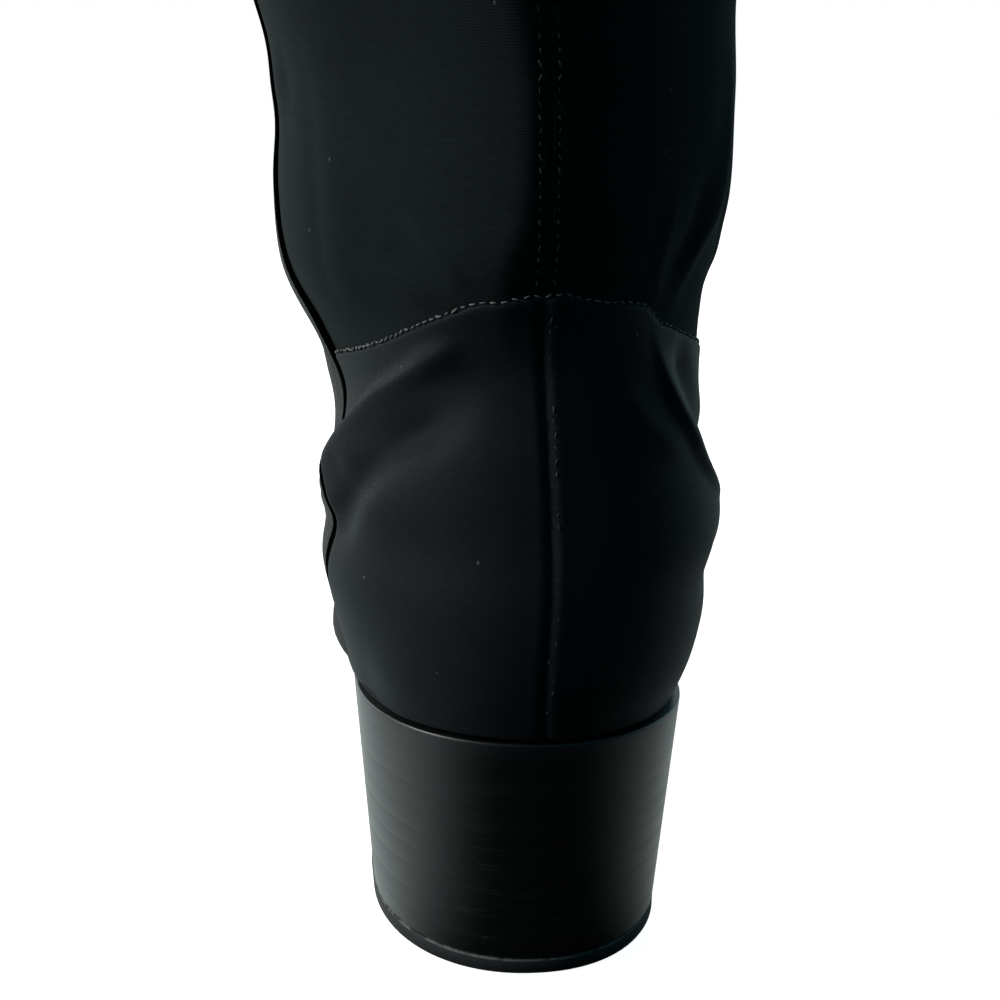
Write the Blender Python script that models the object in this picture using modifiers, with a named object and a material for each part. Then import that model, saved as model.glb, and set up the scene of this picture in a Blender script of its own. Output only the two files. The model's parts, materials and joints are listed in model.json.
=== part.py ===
"""Over-the-knee boot for the left foot, standing empty on its sole.

The boot is an assembly of the pieces that a maker puts together: a hollow fabric upper, a
leather front panel, a counter round the heel, an outsole, a stacked heel with its tip, and an
insole. Everything is worked out from one last: a bottom profile, an outline and two short tables
of rings, from the feather edge up to the collar.

Frame: +Z is up and the floor is Z = 0. The toe points to -Y and the wearer's left, the outer side
of this boot, is +X. The origin is on the floor, under the middle of the heel. In the tables a
station is the distance forward of the heel's back. All sizes are in millimetres and become metres
when a mesh is made.
"""

import bmesh
import bpy
import numpy as np

MM = 0.001

# ------------------------------------------------------------------ driving sizes, in millimetres
CLEARANCE = 0.3             # kept between pieces that meet
HEEL_CENTRE = 30.0          # station of the origin
TOE_TIP = 247.0             # station of the toe's end on the feather edge

SEAT_HEIGHT = 44.3          # underside of the sole at the heel's back, above the floor
SEAT_SLOPE = 0.07           # fall of the seat for each millimetre forward
ARCH_START = 58.0           # station where the seat ends and the arch begins
TREAD_BACK = 146.0          # the forefoot lies flat on the floor between these two stations
TREAD_FRONT = 188.0
TOE_SPRING = 8.0            # underside of the sole at the toe's tip, above the floor

WALL = 1.6                  # fabric and lining together
LEATHER = 1.2               # front panel
COUNTER_CLOTH = 0.7         # counter panel
SEAM_GAP = 0.6              # open line between the front panel and the counter
PANEL_LIFT = 0.4            # the panels end this far above the upper's feather edge

SOLE_THICKNESS = 3.5        # at the forefoot
SEAT_SKIVE = 1.2            # at the heel's back
SKIVE_END = 95.0            # station from which the sole has its full thickness
SOLE_EDGE = 2.4             # how far the sole stands out past the upper's feather edge
SEAT_EDGE = 1.0             # the same at the heel's back
SOLE_BEVEL = 0.9            # chamfer under the sole's edge

INSOLE_THICKNESS = 2.2
INSOLE_MARGIN = WALL + 0.5  # from the upper's outer face to the insole's edge
INSOLE_LIFT = 0.2           # above the upper's feather edge, because its points lie further in

# Outline of the heel at its top and at its foot: station of its back, half width, depth from the
# back to the widest place, and station of the breast, its straight front.
HEEL_TOP = (2.0, 31.2, 36.4, 51.0)
HEEL_FOOT = (2.7, 27.6, 34.7, 48.0)
HEEL_ROUNDNESS = 0.94       # 1 is an ellipse, less is squarer
BREAST_HOLLOW = 1.5         # how far the breast curves back at its middle
TIP_THICKNESS = 2.85
TIP_BEVEL = 0.4

COLUMNS = 40                # points round a ring
FOOT_ROWS = 17              # rows from the feather edge to the ankle
SHAFT_ROWS = 11             # rows from the ankle to the collar
HEEL_STEPS = 10             # pieces along each side of the heel's round back
BREAST_STEPS = 4            # pieces across the breast

# Rings from the feather edge up to the ankle. A ring runs from its back point to its front point,
# each a station and a height, and is an ellipse whose half width changes on the way: "back" to
# "toe" are those half widths at FULLNESS_STATIONS. "follow" says how much of the sole's arch and
# toe spring the ring keeps, and "lean" moves it to the outer side. The feather edge itself lies
# on the sole, so its heights are worked out.
FULLNESS_STATIONS = (0.0, 0.15, 0.4, 0.67, 1.0)
FEATHER_BACK = 3.0
FEATHER_FRONT = 246.5
FEATHER_FULLNESS = (57.0, 42.8, 26.5, 39.5, 37.0)
FEATHER_LEAN = -0.8
FOOT_RINGS = (
    # name          back         front         follow  back  heel  waist  ball   toe   lean
    ("welt_line",  (1.0, 53.0), (248.5, 18.5), 0.95, (59.0, 46.8, 28.5, 42.0, 42.0), -1.2),
    ("heel_curve", (0.0, 61.0), (244.5, 25.5), 0.88, (59.0, 48.6, 31.0, 42.0, 43.0), -1.6),
    ("toe_box",    (0.3, 69.5), (234.0, 32.0), 0.78, (59.0, 49.0, 32.5, 40.0, 41.5), -1.6),
    ("toe_break",  (1.7, 78.0), (216.0, 38.5), 0.66, (59.0, 49.5, 34.0, 36.0, 38.0), -2.9),
    ("vamp",       (3.6, 86.0), (192.0, 46.0), 0.50, (57.0, 49.3, 34.5, 31.0, 30.0), -2.1),
    ("vamp_point", (5.5, 93.5), (166.0, 56.0), 0.35, (52.0, 45.3, 35.3, 30.0, 27.0), -2.0),
    ("instep",     (7.0, 100.5), (146.0, 69.0), 0.20, (46.0, 40.8, 35.0, 31.0, 27.0), -3.1),
    ("throat",     (7.8, 107.5), (131.0, 86.0), 0.08, (40.0, 37.2, 35.0, 33.0, 30.0), -3.0),
    ("ankle_bend", (7.8, 115.0), (121.0, 104.0), 0.0, (39.0, 37.8, 37.2, 36.4, 35.0), -1.1),
    ("ankle_top",  (7.0, 124.0), (114.5, 120.0), 0.0, (41.0, 40.6, 40.2, 39.5, 38.0), 1.1),
)

# Rings of the shaft, from above the ankle to the collar: plain ellipses.
SHAFT_RINGS = (
    # name            back           front          half width  lean
    ("boot_line",    (5.3, 136.0), (110.5, 137.0), 42.4, 0.4),
    ("shaft_low",    (3.0, 155.0), (106.5, 157.0), 41.8, 0.7),
    ("shaft_flare",  (0.0, 175.0), (104.0, 178.0), 44.0, 4.2),
    ("shin_low",     (-4.5, 202.0), (102.0, 206.0), 47.8, 3.2),
    ("shin",         (-10.5, 242.0), (101.5, 246.0), 51.0, 2.6),
    ("calf_low",     (-16.5, 290.0), (101.5, 294.0), 54.0, 2.0),
    ("calf",         (-19.5, 336.0), (101.0, 341.0), 55.5, 1.5),
    ("calf_high",    (-18.5, 386.0), (100.0, 394.0), 55.2, 1.0),
    ("below_knee",   (-15.0, 434.0), (99.5, 446.0), 54.6, 0.6),
    ("knee",         (-13.0, 480.0), (102.5, 497.0), 56.0, 0.3),
    ("above_knee",   (-15.0, 528.0), (107.0, 551.0), 58.8, 0.0),
    ("collar",       (-20.0, 606.0), (112.0, 640.0), 63.5, 0.0),
)

# Swing of the forefoot to the inner side, by station, and the same of the waist on low rings.
SWING_LINE = ((-30.0, 0.0), (98.0, 0.0), (114.0, -2.4), (130.0, -5.6), (150.0, -8.2),
              (170.0, -9.2), (205.0, -9.8), (250.0, -9.8))
WAIST_STATION = 84.0
WAIST_SPREAD = 36.0
WAIST_SHIFT = -2.8

# Side seam between the front panel and the fabric, seen from the side: station, height.
SIDE_SEAM = ((34.0, 20.0), (35.0, 46.0), (39.5, 55.0), (43.0, 65.0), (43.0, 76.0), (46.5, 86.0),
             (50.0, 96.0), (50.0, 108.0), (54.0, 120.0), (57.0, 132.0), (58.0, 152.0),
             (56.0, 178.0), (50.0, 206.0), (45.5, 245.0), (42.5, 292.0), (41.0, 340.0),
             (41.0, 392.0), (42.5, 440.0), (45.0, 490.0), (46.0, 540.0), (46.0, 590.0),
             (46.0, 660.0))

# Arched seam over the counter, seen from the side: station, height.
ARCH_SEAM = ((-12.0, 123.6), (4.0, 122.0), (13.0, 118.0), (22.0, 112.6), (33.0, 107.8),
             (45.0, 104.8), (62.0, 103.0))
ARCH_SLANT = 0.045          # fall of the arched seam for each millimetre to the outer side
SEAM_STEPS = 3              # straight pieces between two points of a seam's table
FAR = 300.0                 # beyond the boot in front, behind and above
HALF_SPAN = 100.0           # beyond the boot on both sides
FAR_UP = 700.0
SHARP_ANGLE = 0.6           # edges bent more than this, in radians, are shaded sharp
MERGE_DISTANCE = 0.00001    # metres

BLACK_CLOTH = ((0.016, 0.019, 0.019, 1.0), 0.88)
BLACK_LEATHER = ((0.012, 0.012, 0.013, 1.0), 0.42)
HEEL_LACQUER = ((0.010, 0.010, 0.011, 1.0), 0.28)
SOLE_RUBBER = ((0.014, 0.014, 0.014, 1.0), 0.60)
INSOLE_LINING = ((0.045, 0.042, 0.040, 1.0), 0.75)


# ------------------------------------------------------------------------------ curves and the last
def smooth_curve(knots, values, where):
    """Value at each place of a smooth curve through the knots: a cubic between two knots, whose
    slope at a knot is the mean of the slopes on its two sides, each weighted by the other's span."""
    knots = np.asarray(knots, dtype=float)
    values = np.asarray(values, dtype=float)
    where = np.clip(np.asarray(where, dtype=float), knots[0], knots[-1])
    spans = np.diff(knots)
    slopes = np.diff(values) / spans
    tangents = np.empty_like(values)
    tangents[0] = slopes[0]
    tangents[-1] = slopes[-1]
    tangents[1:-1] = (slopes[:-1] * spans[1:] + slopes[1:] * spans[:-1]) / (spans[1:] + spans[:-1])
    left = np.clip(np.searchsorted(knots, where, side="right") - 1, 0, len(spans) - 1)
    span = spans[left]
    part = (where - knots[left]) / span
    rise = part * part * (3.0 - 2.0 * part)
    bend_in = part * (1.0 - part) ** 2
    bend_out = part * part * (part - 1.0)
    return (values[left] + (values[left + 1] - values[left]) * rise
            + span * (tangents[left] * bend_in + tangents[left + 1] * bend_out))


def sole_underside(station):
    """Height of the sole's underside: seat, arch, flat tread and toe spring."""
    station = np.asarray(station, dtype=float)
    seat = SEAT_HEIGHT - SEAT_SLOPE * station
    run = TREAD_BACK - ARCH_START
    climb = np.clip((TREAD_BACK - station) / run, 0.0, 1.0)
    seat_edge = SEAT_HEIGHT - SEAT_SLOPE * ARCH_START
    arch = (seat_edge * climb * climb * (3.0 - 2.0 * climb)
            + SEAT_SLOPE * run * climb * climb * (climb - 1.0))
    spring = TOE_SPRING * (np.maximum(station - TREAD_FRONT, 0.0) / (TOE_TIP - TREAD_FRONT)) ** 2
    return np.where(station < ARCH_START, seat, arch + spring)


def sole_thickness(station):
    """Thickness of the sole: skived at the heel's back, full from the waist forward."""
    part = np.clip(np.asarray(station, dtype=float) / SKIVE_END, 0.0, 1.0)
    return SEAT_SKIVE + (SOLE_THICKNESS - SEAT_SKIVE) * part * (2.0 - part)


def feather_height(station):
    """Height of the upper's lower edge, just above the sole's upper face."""
    return sole_underside(station) + sole_thickness(station) + CLEARANCE


def ring_table():
    """All rings as one array, a row for each, with the columns back station, back height, front
    station, front height, follow, lean and the half widths at FULLNESS_STATIONS."""
    feather_ends = feather_height(np.array([FEATHER_BACK, FEATHER_FRONT]))
    rows = [(FEATHER_BACK, feather_ends[0], FEATHER_FRONT, feather_ends[1], 1.0, FEATHER_LEAN,
             *FEATHER_FULLNESS)]
    for _name, back, front, follow, fullness, lean in FOOT_RINGS:
        rows.append((*back, *front, follow, lean, *fullness))
    for _name, back, front, half_width, lean in SHAFT_RINGS:
        rows.append((*back, *front, 0.0, lean, *[half_width] * len(FULLNESS_STATIONS)))
    return np.array(rows)


def last_surface(level, around):
    """Points of the upper's outer face. The level counts rings from the feather edge, and around
    goes from 0 at the heel's back over the outer side, 0.5 at the front, and back to 1. Both are
    arrays of one shape, and the result has one more axis: x, station and height."""
    table = ring_table()
    rings = np.arange(len(table))
    back, back_height, front, front_height, follow, lean, *fullness = (
        smooth_curve(rings, column, level) for column in table.T)

    # Along a ring, part goes from 0 at its back to 1 at its front by the cosine law of an ellipse.
    outer = around <= 0.5
    turn = np.pi * np.where(outer, 2.0 * around, 2.0 - 2.0 * around)
    part = 0.5 - 0.5 * np.cos(turn)
    station = back + (front - back) * part

    # A low ring keeps the sole's arch and toe spring, measured from the feather edge's chord.
    feather = feather_height(FEATHER_BACK + (FEATHER_FRONT - FEATHER_BACK) * part)
    chord = table[0, 1] + (table[0, 3] - table[0, 1]) * part
    height = back_height + (front_height - back_height) * part + follow * (feather - chord)

    shares = [smooth_curve(FULLNESS_STATIONS, share, part) for share in np.eye(len(fullness))]
    half_width = sum(width * share for width, share in zip(fullness, shares)) * np.sin(turn)

    centre = smooth_curve(*zip(*SWING_LINE), station) + lean
    waist = WAIST_SHIFT * np.exp(-((station - WAIST_STATION) / WAIST_SPREAD) ** 2)
    x = centre + follow * waist + np.where(outer, half_width, -half_width)
    return np.stack([x, station, height], axis=-1)


def ring_turns():
    """Places round a ring, 0 to 1, without the last, which is the first again."""
    return np.arange(COLUMNS) / COLUMNS


def feather_outline(side, growth):
    """Feather edge on one side, 1 for the outer and -1 for the inner, from the heel's back to the
    toe, moved outwards by a growth given for each point: x and station of each point."""
    around = np.arange(COLUMNS // 2 + 1) / COLUMNS
    if side < 0:
        around = 1.0 - around
    edge = last_surface(np.zeros_like(around), around)[:, :2]
    along = np.gradient(edge, axis=0)
    along[0] = (side, 0.0)
    along[-1] = (-side, 0.0)
    along /= np.linalg.norm(along, axis=1, keepdims=True)
    outwards = np.stack([along[:, 1], -along[:, 0]], axis=1) * side
    return edge + outwards * growth[:, None]


# ------------------------------------------------------------------------------ mesh helpers
def to_world(points):
    """Metres in the boot's frame from x, station and height in millimetres."""
    points = np.asarray(points, dtype=float)
    return np.stack([points[..., 0], HEEL_CENTRE - points[..., 1], points[..., 2]], axis=-1) * MM


def make_material(name, finish):
    """A Principled material from a colour and a roughness."""
    colour, roughness = finish
    made = bpy.data.materials.new(name)
    made.use_nodes = True
    shader = made.node_tree.nodes["Principled BSDF"]
    shader.inputs["Base Color"].default_value = colour
    shader.inputs["Roughness"].default_value = roughness
    shader.inputs["Metallic"].default_value = 0.0
    made.diffuse_color = colour
    return made


def make_object(name, shape, collection, finish=None):
    """An object from a bmesh, which is freed, with smooth shading and an optional material."""
    mesh = bpy.data.meshes.new(name)
    shape.to_mesh(mesh)
    shape.free()
    mesh.shade_smooth()
    mesh.set_sharp_from_angle(angle=SHARP_ANGLE)
    made = bpy.data.objects.new(name, mesh)
    collection.objects.link(made)
    if finish:
        mesh.materials.append(make_material(name + "_finish", finish))
    return made


def loft(sections):
    """A closed bmesh of quads between neighbouring closed sections, an array of sections by points
    by 3 in metres. The first and last sections are capped, or come to a point or a line."""
    shape = bmesh.new()
    grid = [[shape.verts.new(point) for point in section] for section in sections]
    for lower, upper in zip(grid, grid[1:]):
        for index in range(len(lower)):
            before = index - 1
            shape.faces.new((lower[before], lower[index], upper[index], upper[before]))
    shape.faces.new(grid[0])
    shape.faces.new(grid[-1][::-1])
    bmesh.ops.remove_doubles(shape, verts=shape.verts, dist=MERGE_DISTANCE)
    bmesh.ops.dissolve_degenerate(shape, edges=shape.edges, dist=MERGE_DISTANCE)
    bmesh.ops.recalc_face_normals(shape, faces=shape.faces)
    return shape


def last_tube(growth):
    """An open bmesh tube from the feather edge to the collar, faces outwards, that lies outside
    the upper's outer face by the growth. It is made of triangles, because two tubes of twisted
    quads could be split along different diagonals and touch."""
    levels = np.concatenate([
        np.linspace(0.0, len(FOOT_RINGS), FOOT_ROWS, endpoint=False),
        np.linspace(len(FOOT_RINGS), len(FOOT_RINGS) + len(SHAFT_RINGS), SHAFT_ROWS + 1)])
    level_grid, turn_grid = np.meshgrid(levels, ring_turns(), indexing="ij")
    points = to_world(last_surface(level_grid, turn_grid))
    shape = bmesh.new()
    grid = [[shape.verts.new(point) for point in row] for row in points]
    for lower, upper in zip(grid, grid[1:]):
        for index in range(COLUMNS):
            before = index - 1
            shape.faces.new((lower[before], upper[before], upper[index]))
            shape.faces.new((lower[before], upper[index], lower[index]))
    shape.normal_update()
    if growth:
        moves = [vertex.normal * (growth * MM) for vertex in shape.verts]
        for vertex, move in zip(shape.verts, moves):
            vertex.co += move
    return shape


def thicken(thing, thickness, offset):
    """Solidify a surface: an offset of -1 grows it inwards and of 1 outwards."""
    shell = thing.modifiers.new("wall", "SOLIDIFY")
    shell.thickness = thickness * MM
    shell.offset = offset
    shell.use_even_offset = True


def side_cutter(name, outline, collection, slant=0.0):
    """A hidden solid that runs right across the boot, from its outline seen from the side, a list
    of stations and heights. A slant lets it fall towards the outer side."""
    sections = [to_world([(x, station, height - slant * x) for station, height in outline])
                for x in (-HALF_SPAN, HALF_SPAN)]
    cutter = make_object(name, loft(sections), collection)
    cutter.hide_render = True
    cutter.display_type = "WIRE"
    return cutter


def keep_inside(thing, cutter):
    """Keep only what lies inside the cutter."""
    cut = thing.modifiers.new(cutter.name, "BOOLEAN")
    cut.operation = "INTERSECT"
    cut.solver = "EXACT"
    cut.object = cutter


def seam_points(table):
    """A seam's table with smooth points between its own: stations and heights."""
    table = np.array(table)
    places = np.linspace(0.0, len(table) - 1.0, (len(table) - 1) * SEAM_STEPS + 1)
    knots = np.arange(len(table))
    return [(float(station), float(height)) for station, height in
            zip(smooth_curve(knots, table[:, 0], places), smooth_curve(knots, table[:, 1], places))]


# ------------------------------------------------------------------------------ the pieces
def build_upper(collection):
    """The fabric upper with its lining: one shell, open at the collar and underneath."""
    upper = make_object("upper", last_tube(0.0), collection, BLACK_CLOTH)
    thicken(upper, WALL, -1.0)
    return upper


def panel_edge(station):
    """Height of the panels' lower edge."""
    return feather_height(station) + PANEL_LIFT


def panel_edge_line():
    """Stations and heights of the panels' lower edge from the heel to the toe, seen from the
    side, with the upper's own stations, and going on level past both ends."""
    stations = feather_outline(1, np.zeros(COLUMNS // 2 + 1))[:, 1]
    stations = [stations[0] - FAR, *stations, stations[-1] + FAR]
    ends = np.clip(stations, stations[1], stations[-2])
    return list(zip(stations, panel_edge(ends)))


def panel_seam(shift):
    """The side seam above the panels' lower edge, moved forward by the shift, and where it meets
    that edge."""
    seam = [(station + shift, height) for station, height in seam_points(SIDE_SEAM)]
    seam = [point for point in seam if point[1] > panel_edge(point[0])]
    return seam, (seam[0][0], np.interp(seam[0][0], *zip(*panel_edge_line())))


def build_leather_front(collection, cutters):
    """The leather panel in front of the side seam, lapped over the upper down to the sole."""
    panel = make_object("leather_front", last_tube(CLEARANCE), collection, BLACK_LEATHER)
    thicken(panel, LEATHER, 1.0)
    seam, foot = panel_seam(0.0)
    edge = [foot] + [point for point in panel_edge_line() if point[0] > foot[0]]
    outline = edge + [(edge[-1][0], FAR_UP), (seam[-1][0], FAR_UP)] + seam[::-1]
    keep_inside(panel, side_cutter("before_seam", outline, cutters))
    return panel


def build_counter(collection, cutters):
    """The counter panel round the heel: behind the side seam and under the arched seam."""
    panel = make_object("counter", last_tube(CLEARANCE), collection, BLACK_CLOTH)
    thicken(panel, COUNTER_CLOTH, 1.0)
    seam, foot = panel_seam(-SEAM_GAP)
    edge = [point for point in panel_edge_line() if point[0] < foot[0]] + [foot]
    outline = edge + seam + [(seam[-1][0], FAR_UP), (edge[0][0], FAR_UP)]
    keep_inside(panel, side_cutter("behind_seam", outline, cutters))
    arch = seam_points(ARCH_SEAM)
    outline = [(arch[0][0], -FAR), (arch[-1][0], -FAR)] + arch[::-1]
    keep_inside(panel, side_cutter("under_arch", outline, cutters, ARCH_SLANT))
    return panel


def build_outsole(collection):
    """The outsole: full length, flat at the tread, with a chamfer under its edge."""
    count = COLUMNS // 2 + 1
    station = feather_outline(1, np.zeros(count))[:, 1]
    share = smooth_curve((0.0, ARCH_START, TREAD_BACK), (0.0, 0.0, 1.0), station)
    growth = SEAT_EDGE + (SOLE_EDGE - SEAT_EDGE) * share
    bevel = SOLE_BEVEL * sole_thickness(station) / SOLE_THICKNESS
    rings = []
    for side in (1, -1):
        edge = feather_outline(side, growth)
        under = feather_outline(side, growth - bevel)
        top = sole_underside(edge[:, 1]) + sole_thickness(edge[:, 1])
        low = sole_underside(edge[:, 1]) + bevel
        rings.append([np.column_stack([edge, top]), np.column_stack([edge, low]),
                      np.column_stack([under, sole_underside(under[:, 1])])])
    outer, inner = rings
    sections = np.stack(outer + inner[::-1], axis=1)
    return make_object("outsole", loft(to_world(sections)), collection, SOLE_RUBBER)


def build_insole(collection):
    """The insole, between the walls of the upper."""
    growth = np.full(COLUMNS // 2 + 1, -INSOLE_MARGIN)
    corners = []
    for side, rise in ((1, INSOLE_THICKNESS), (1, 0.0), (-1, 0.0), (-1, INSOLE_THICKNESS)):
        edge = feather_outline(side, growth)
        height = feather_height(edge[:, 1]) + INSOLE_LIFT + rise
        corners.append(np.column_stack([edge, height]))
    sections = np.stack(corners, axis=1)
    return make_object("insole", loft(to_world(sections)), collection, INSOLE_LINING)


def heel_outline(back, half_width, reach, breast, margin=0.0):
    """Outline of the heel seen from above, moved inwards by the margin: a round back, straight
    sides and a hollow breast, as x and station."""
    turn = np.linspace(0.0, np.pi / 2.0, HEEL_STEPS + 1)
    round_x = half_width * np.sin(turn) ** HEEL_ROUNDNESS
    round_station = back + reach * (1.0 - np.cos(turn) ** HEEL_ROUNDNESS)
    across = np.linspace(1.0, -1.0, BREAST_STEPS + 1)
    breast_x = half_width * across
    breast_station = breast - BREAST_HOLLOW * (1.0 - across**2)
    x = np.concatenate([round_x, breast_x, -round_x[:0:-1]])
    station = np.concatenate([round_station, breast_station, round_station[:0:-1]])
    middle = 0.5 * (back + breast)
    return np.stack([x * (1.0 - margin / half_width),
                     middle + (station - middle) * (1.0 - 2.0 * margin / (breast - back))], axis=1)


def build_heel(collection):
    """The stacked heel, from the sole's seat to its tip."""
    top = heel_outline(*HEEL_TOP)
    foot = heel_outline(*HEEL_FOOT)
    top_height = SEAT_HEIGHT - SEAT_SLOPE * top[:, 1] - CLEARANCE
    foot_height = np.full(len(foot), TIP_THICKNESS + CLEARANCE)
    sections = [np.column_stack([foot, foot_height]), np.column_stack([top, top_height])]
    return make_object("heel", loft(to_world(sections)), collection, HEEL_LACQUER)


def build_heel_tip(collection):
    """The rubber tip under the heel, flat on the floor."""
    levels = ((0.0, TIP_BEVEL), (TIP_BEVEL, 0.0), (TIP_THICKNESS, 0.0))
    sections = []
    for height, margin in levels:
        outline = heel_outline(*HEEL_FOOT, margin=margin)
        sections.append(np.column_stack([outline, np.full(len(outline), height)]))
    return make_object("heel_tip", loft(to_world(sections)), collection, SOLE_RUBBER)


def main():
    """Clear the scene and build the boot."""
    for thing in list(bpy.data.objects):
        bpy.data.objects.remove(thing, do_unlink=True)
    boot = bpy.data.collections.new("over_the_knee_boot")
    cutters = bpy.data.collections.new("cutters")
    bpy.context.scene.collection.children.link(boot)
    bpy.context.scene.collection.children.link(cutters)
    build_upper(boot)
    build_leather_front(boot, cutters)
    build_counter(boot, cutters)
    build_outsole(boot)
    build_insole(boot)
    build_heel(boot)
    build_heel_tip(boot)


main()
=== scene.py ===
"""Looks of an over-the-knee boot for the left foot, standing empty on its sole.

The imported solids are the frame. Every piece here is worked out again, finely, from the same last:
its bottom profile, its outline and its rings. A place on the last is a level, counted in rings
from the feather edge to the collar, and a turn: 0 at the middle of the back, positive towards the
outer side, and half a turn either way at the front. A place on the boot's skin can also be told
by its arc, the distance round the ring from the middle of the back, and its height. Table sizes
are in millimetres and the points of the finished meshes are in metres. +Z is up, the toe points
to -Y and the outer side is +X.
"""

import json
import logging
from collections.abc import Callable
from dataclasses import dataclass
from enum import Enum

import bmesh
import bpy
import numpy as np
from mathutils import Matrix, Vector

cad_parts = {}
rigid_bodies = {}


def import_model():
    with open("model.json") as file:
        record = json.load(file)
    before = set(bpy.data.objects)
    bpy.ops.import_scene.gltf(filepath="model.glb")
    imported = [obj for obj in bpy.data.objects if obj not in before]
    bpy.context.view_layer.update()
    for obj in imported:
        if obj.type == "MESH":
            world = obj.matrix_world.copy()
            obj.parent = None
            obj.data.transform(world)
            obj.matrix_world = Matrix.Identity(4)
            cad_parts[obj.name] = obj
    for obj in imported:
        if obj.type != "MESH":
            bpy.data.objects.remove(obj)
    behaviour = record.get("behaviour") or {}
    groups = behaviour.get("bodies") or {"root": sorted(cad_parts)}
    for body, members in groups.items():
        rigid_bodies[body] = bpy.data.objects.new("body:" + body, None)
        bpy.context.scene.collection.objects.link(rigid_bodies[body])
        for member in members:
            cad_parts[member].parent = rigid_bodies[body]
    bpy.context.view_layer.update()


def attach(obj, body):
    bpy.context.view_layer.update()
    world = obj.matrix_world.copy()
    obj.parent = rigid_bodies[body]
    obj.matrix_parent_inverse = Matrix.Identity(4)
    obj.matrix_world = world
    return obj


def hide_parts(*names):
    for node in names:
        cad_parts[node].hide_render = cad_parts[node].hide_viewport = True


LOG = logging.getLogger("boot")
MM = 0.001                  # metres in a millimetre
CM = 0.1                    # centimetres in a millimetre, for the weave
MERGE = 2e-6                # metres within which doubled points become one
TOP = 22.0                  # level of the collar
FRONT = 0.5                 # turn of the middle of the front
ROUND = 2.0 * np.pi         # a full turn in radians
HALVINGS = 30               # steps after which a place found by halving is close enough
EDGE_STEPS = (0.0, 0.04, 0.14, 0.32, 0.6, 1.0, 1.6)     # millimetres in from a panel's edge
SOFT, CRISP, NEVER = 0.7, 0.9, 3.0      # bends in radians over which an edge is shaded sharp
Array = np.ndarray
Table = tuple[tuple[float, ...], ...]
Triple = tuple[float, float, float]
Colour = tuple[float, float, float, float]
WHITE: Colour = (1.0, 1.0, 1.0, 1.0)


class Slot(Enum):
    """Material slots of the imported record."""

    CLOTH = "cloth"
    LEATHER = "leather"
    LACQUER = "heel_lacquer"
    RUBBER = "sole_rubber"
    LINING = "lining"


class Side(Enum):
    """The two long sides of the boot, as the sign of x."""

    OUTER = 1.0
    INNER = -1.0


# ----------------------------------------------------------------------------------- curves
def smooth_curve(knots: Array, values: Array, where: Array) -> Array:
    """A smooth curve through knots: between two knots a cubic, whose slope at a knot is the mean
    of the slopes on its two sides, each weighted by the other's span.

    Args:
        knots: Rising places.
        values: The curve's value at each.
        where: Places to read, held within the knots.

    Returns:
        The value at each place.
    """
    knots, values = np.asarray(knots, float), np.asarray(values, float)
    where = np.clip(np.asarray(where, float), knots[0], knots[-1])
    spans = np.diff(knots)
    slopes = np.diff(values) / spans
    inner = (slopes[:-1] * spans[1:] + slopes[1:] * spans[:-1]) / (spans[1:] + spans[:-1])
    tangents = np.concatenate([slopes[:1], inner, slopes[-1:]])
    left = np.clip(np.searchsorted(knots, where, side="right") - 1, 0, len(spans) - 1)
    span = spans[left]
    part = (where - knots[left]) / span
    return (
        values[left]
        + (values[left + 1] - values[left]) * part * part * (3.0 - 2.0 * part)
        + span * tangents[left] * part * (1.0 - part) ** 2
        + span * tangents[left + 1] * part * part * (part - 1.0)
    )


def curve_of(table: Table, where: Array) -> Array:
    """A smooth curve through a table of (place, value) rows, read at each place."""
    knots, values = zip(*table)
    return smooth_curve(knots, values, where)


def ease(part: Array) -> Array:
    """A soft step: 0 below 0, 1 above 1, and 3 p² - 2 p³ between."""
    part = np.clip(part, 0.0, 1.0)
    return part * part * (3.0 - 2.0 * part)


def bell(distance: Array, width: float | Array) -> Array:
    """A soft hump: e to the power of minus the square of distance over width."""
    return np.exp(-((distance / width) ** 2))


def ridges(offset: Array, table: Table) -> Array:
    """Relief across a seam, from rows of offset, rise and width."""
    return sum(rise * bell(offset - place, width) for place, rise, width in table)


def stepped(*runs: Triple) -> Array:
    """Numbers in runs of start, stop and step, one run after another."""
    return np.concatenate([np.arange(*run) for run in runs])


def halve(shape: tuple[int, ...], bounds: tuple[float, float],
          past: Callable[[Array], Array]) -> Array:
    """Where a condition starts to hold between two bounds, found by halving.

    Args:
        shape: Shape of the result.
        bounds: The lowest and the highest place it can be at.
        past: Tells for each place whether the condition holds there.

    Returns:
        The place where it starts to hold.
    """
    low, high = (np.full(shape, bound) for bound in bounds)
    for _ in range(HALVINGS):
        middle = 0.5 * (low + high)
        found = past(middle)
        low, high = np.where(found, low, middle), np.where(found, middle, high)
    return 0.5 * (low + high)


def unit(vectors: Array) -> Array:
    """Vectors on the last axis, made one long."""
    return vectors / np.linalg.norm(vectors, axis=-1, keepdims=True)


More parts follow.
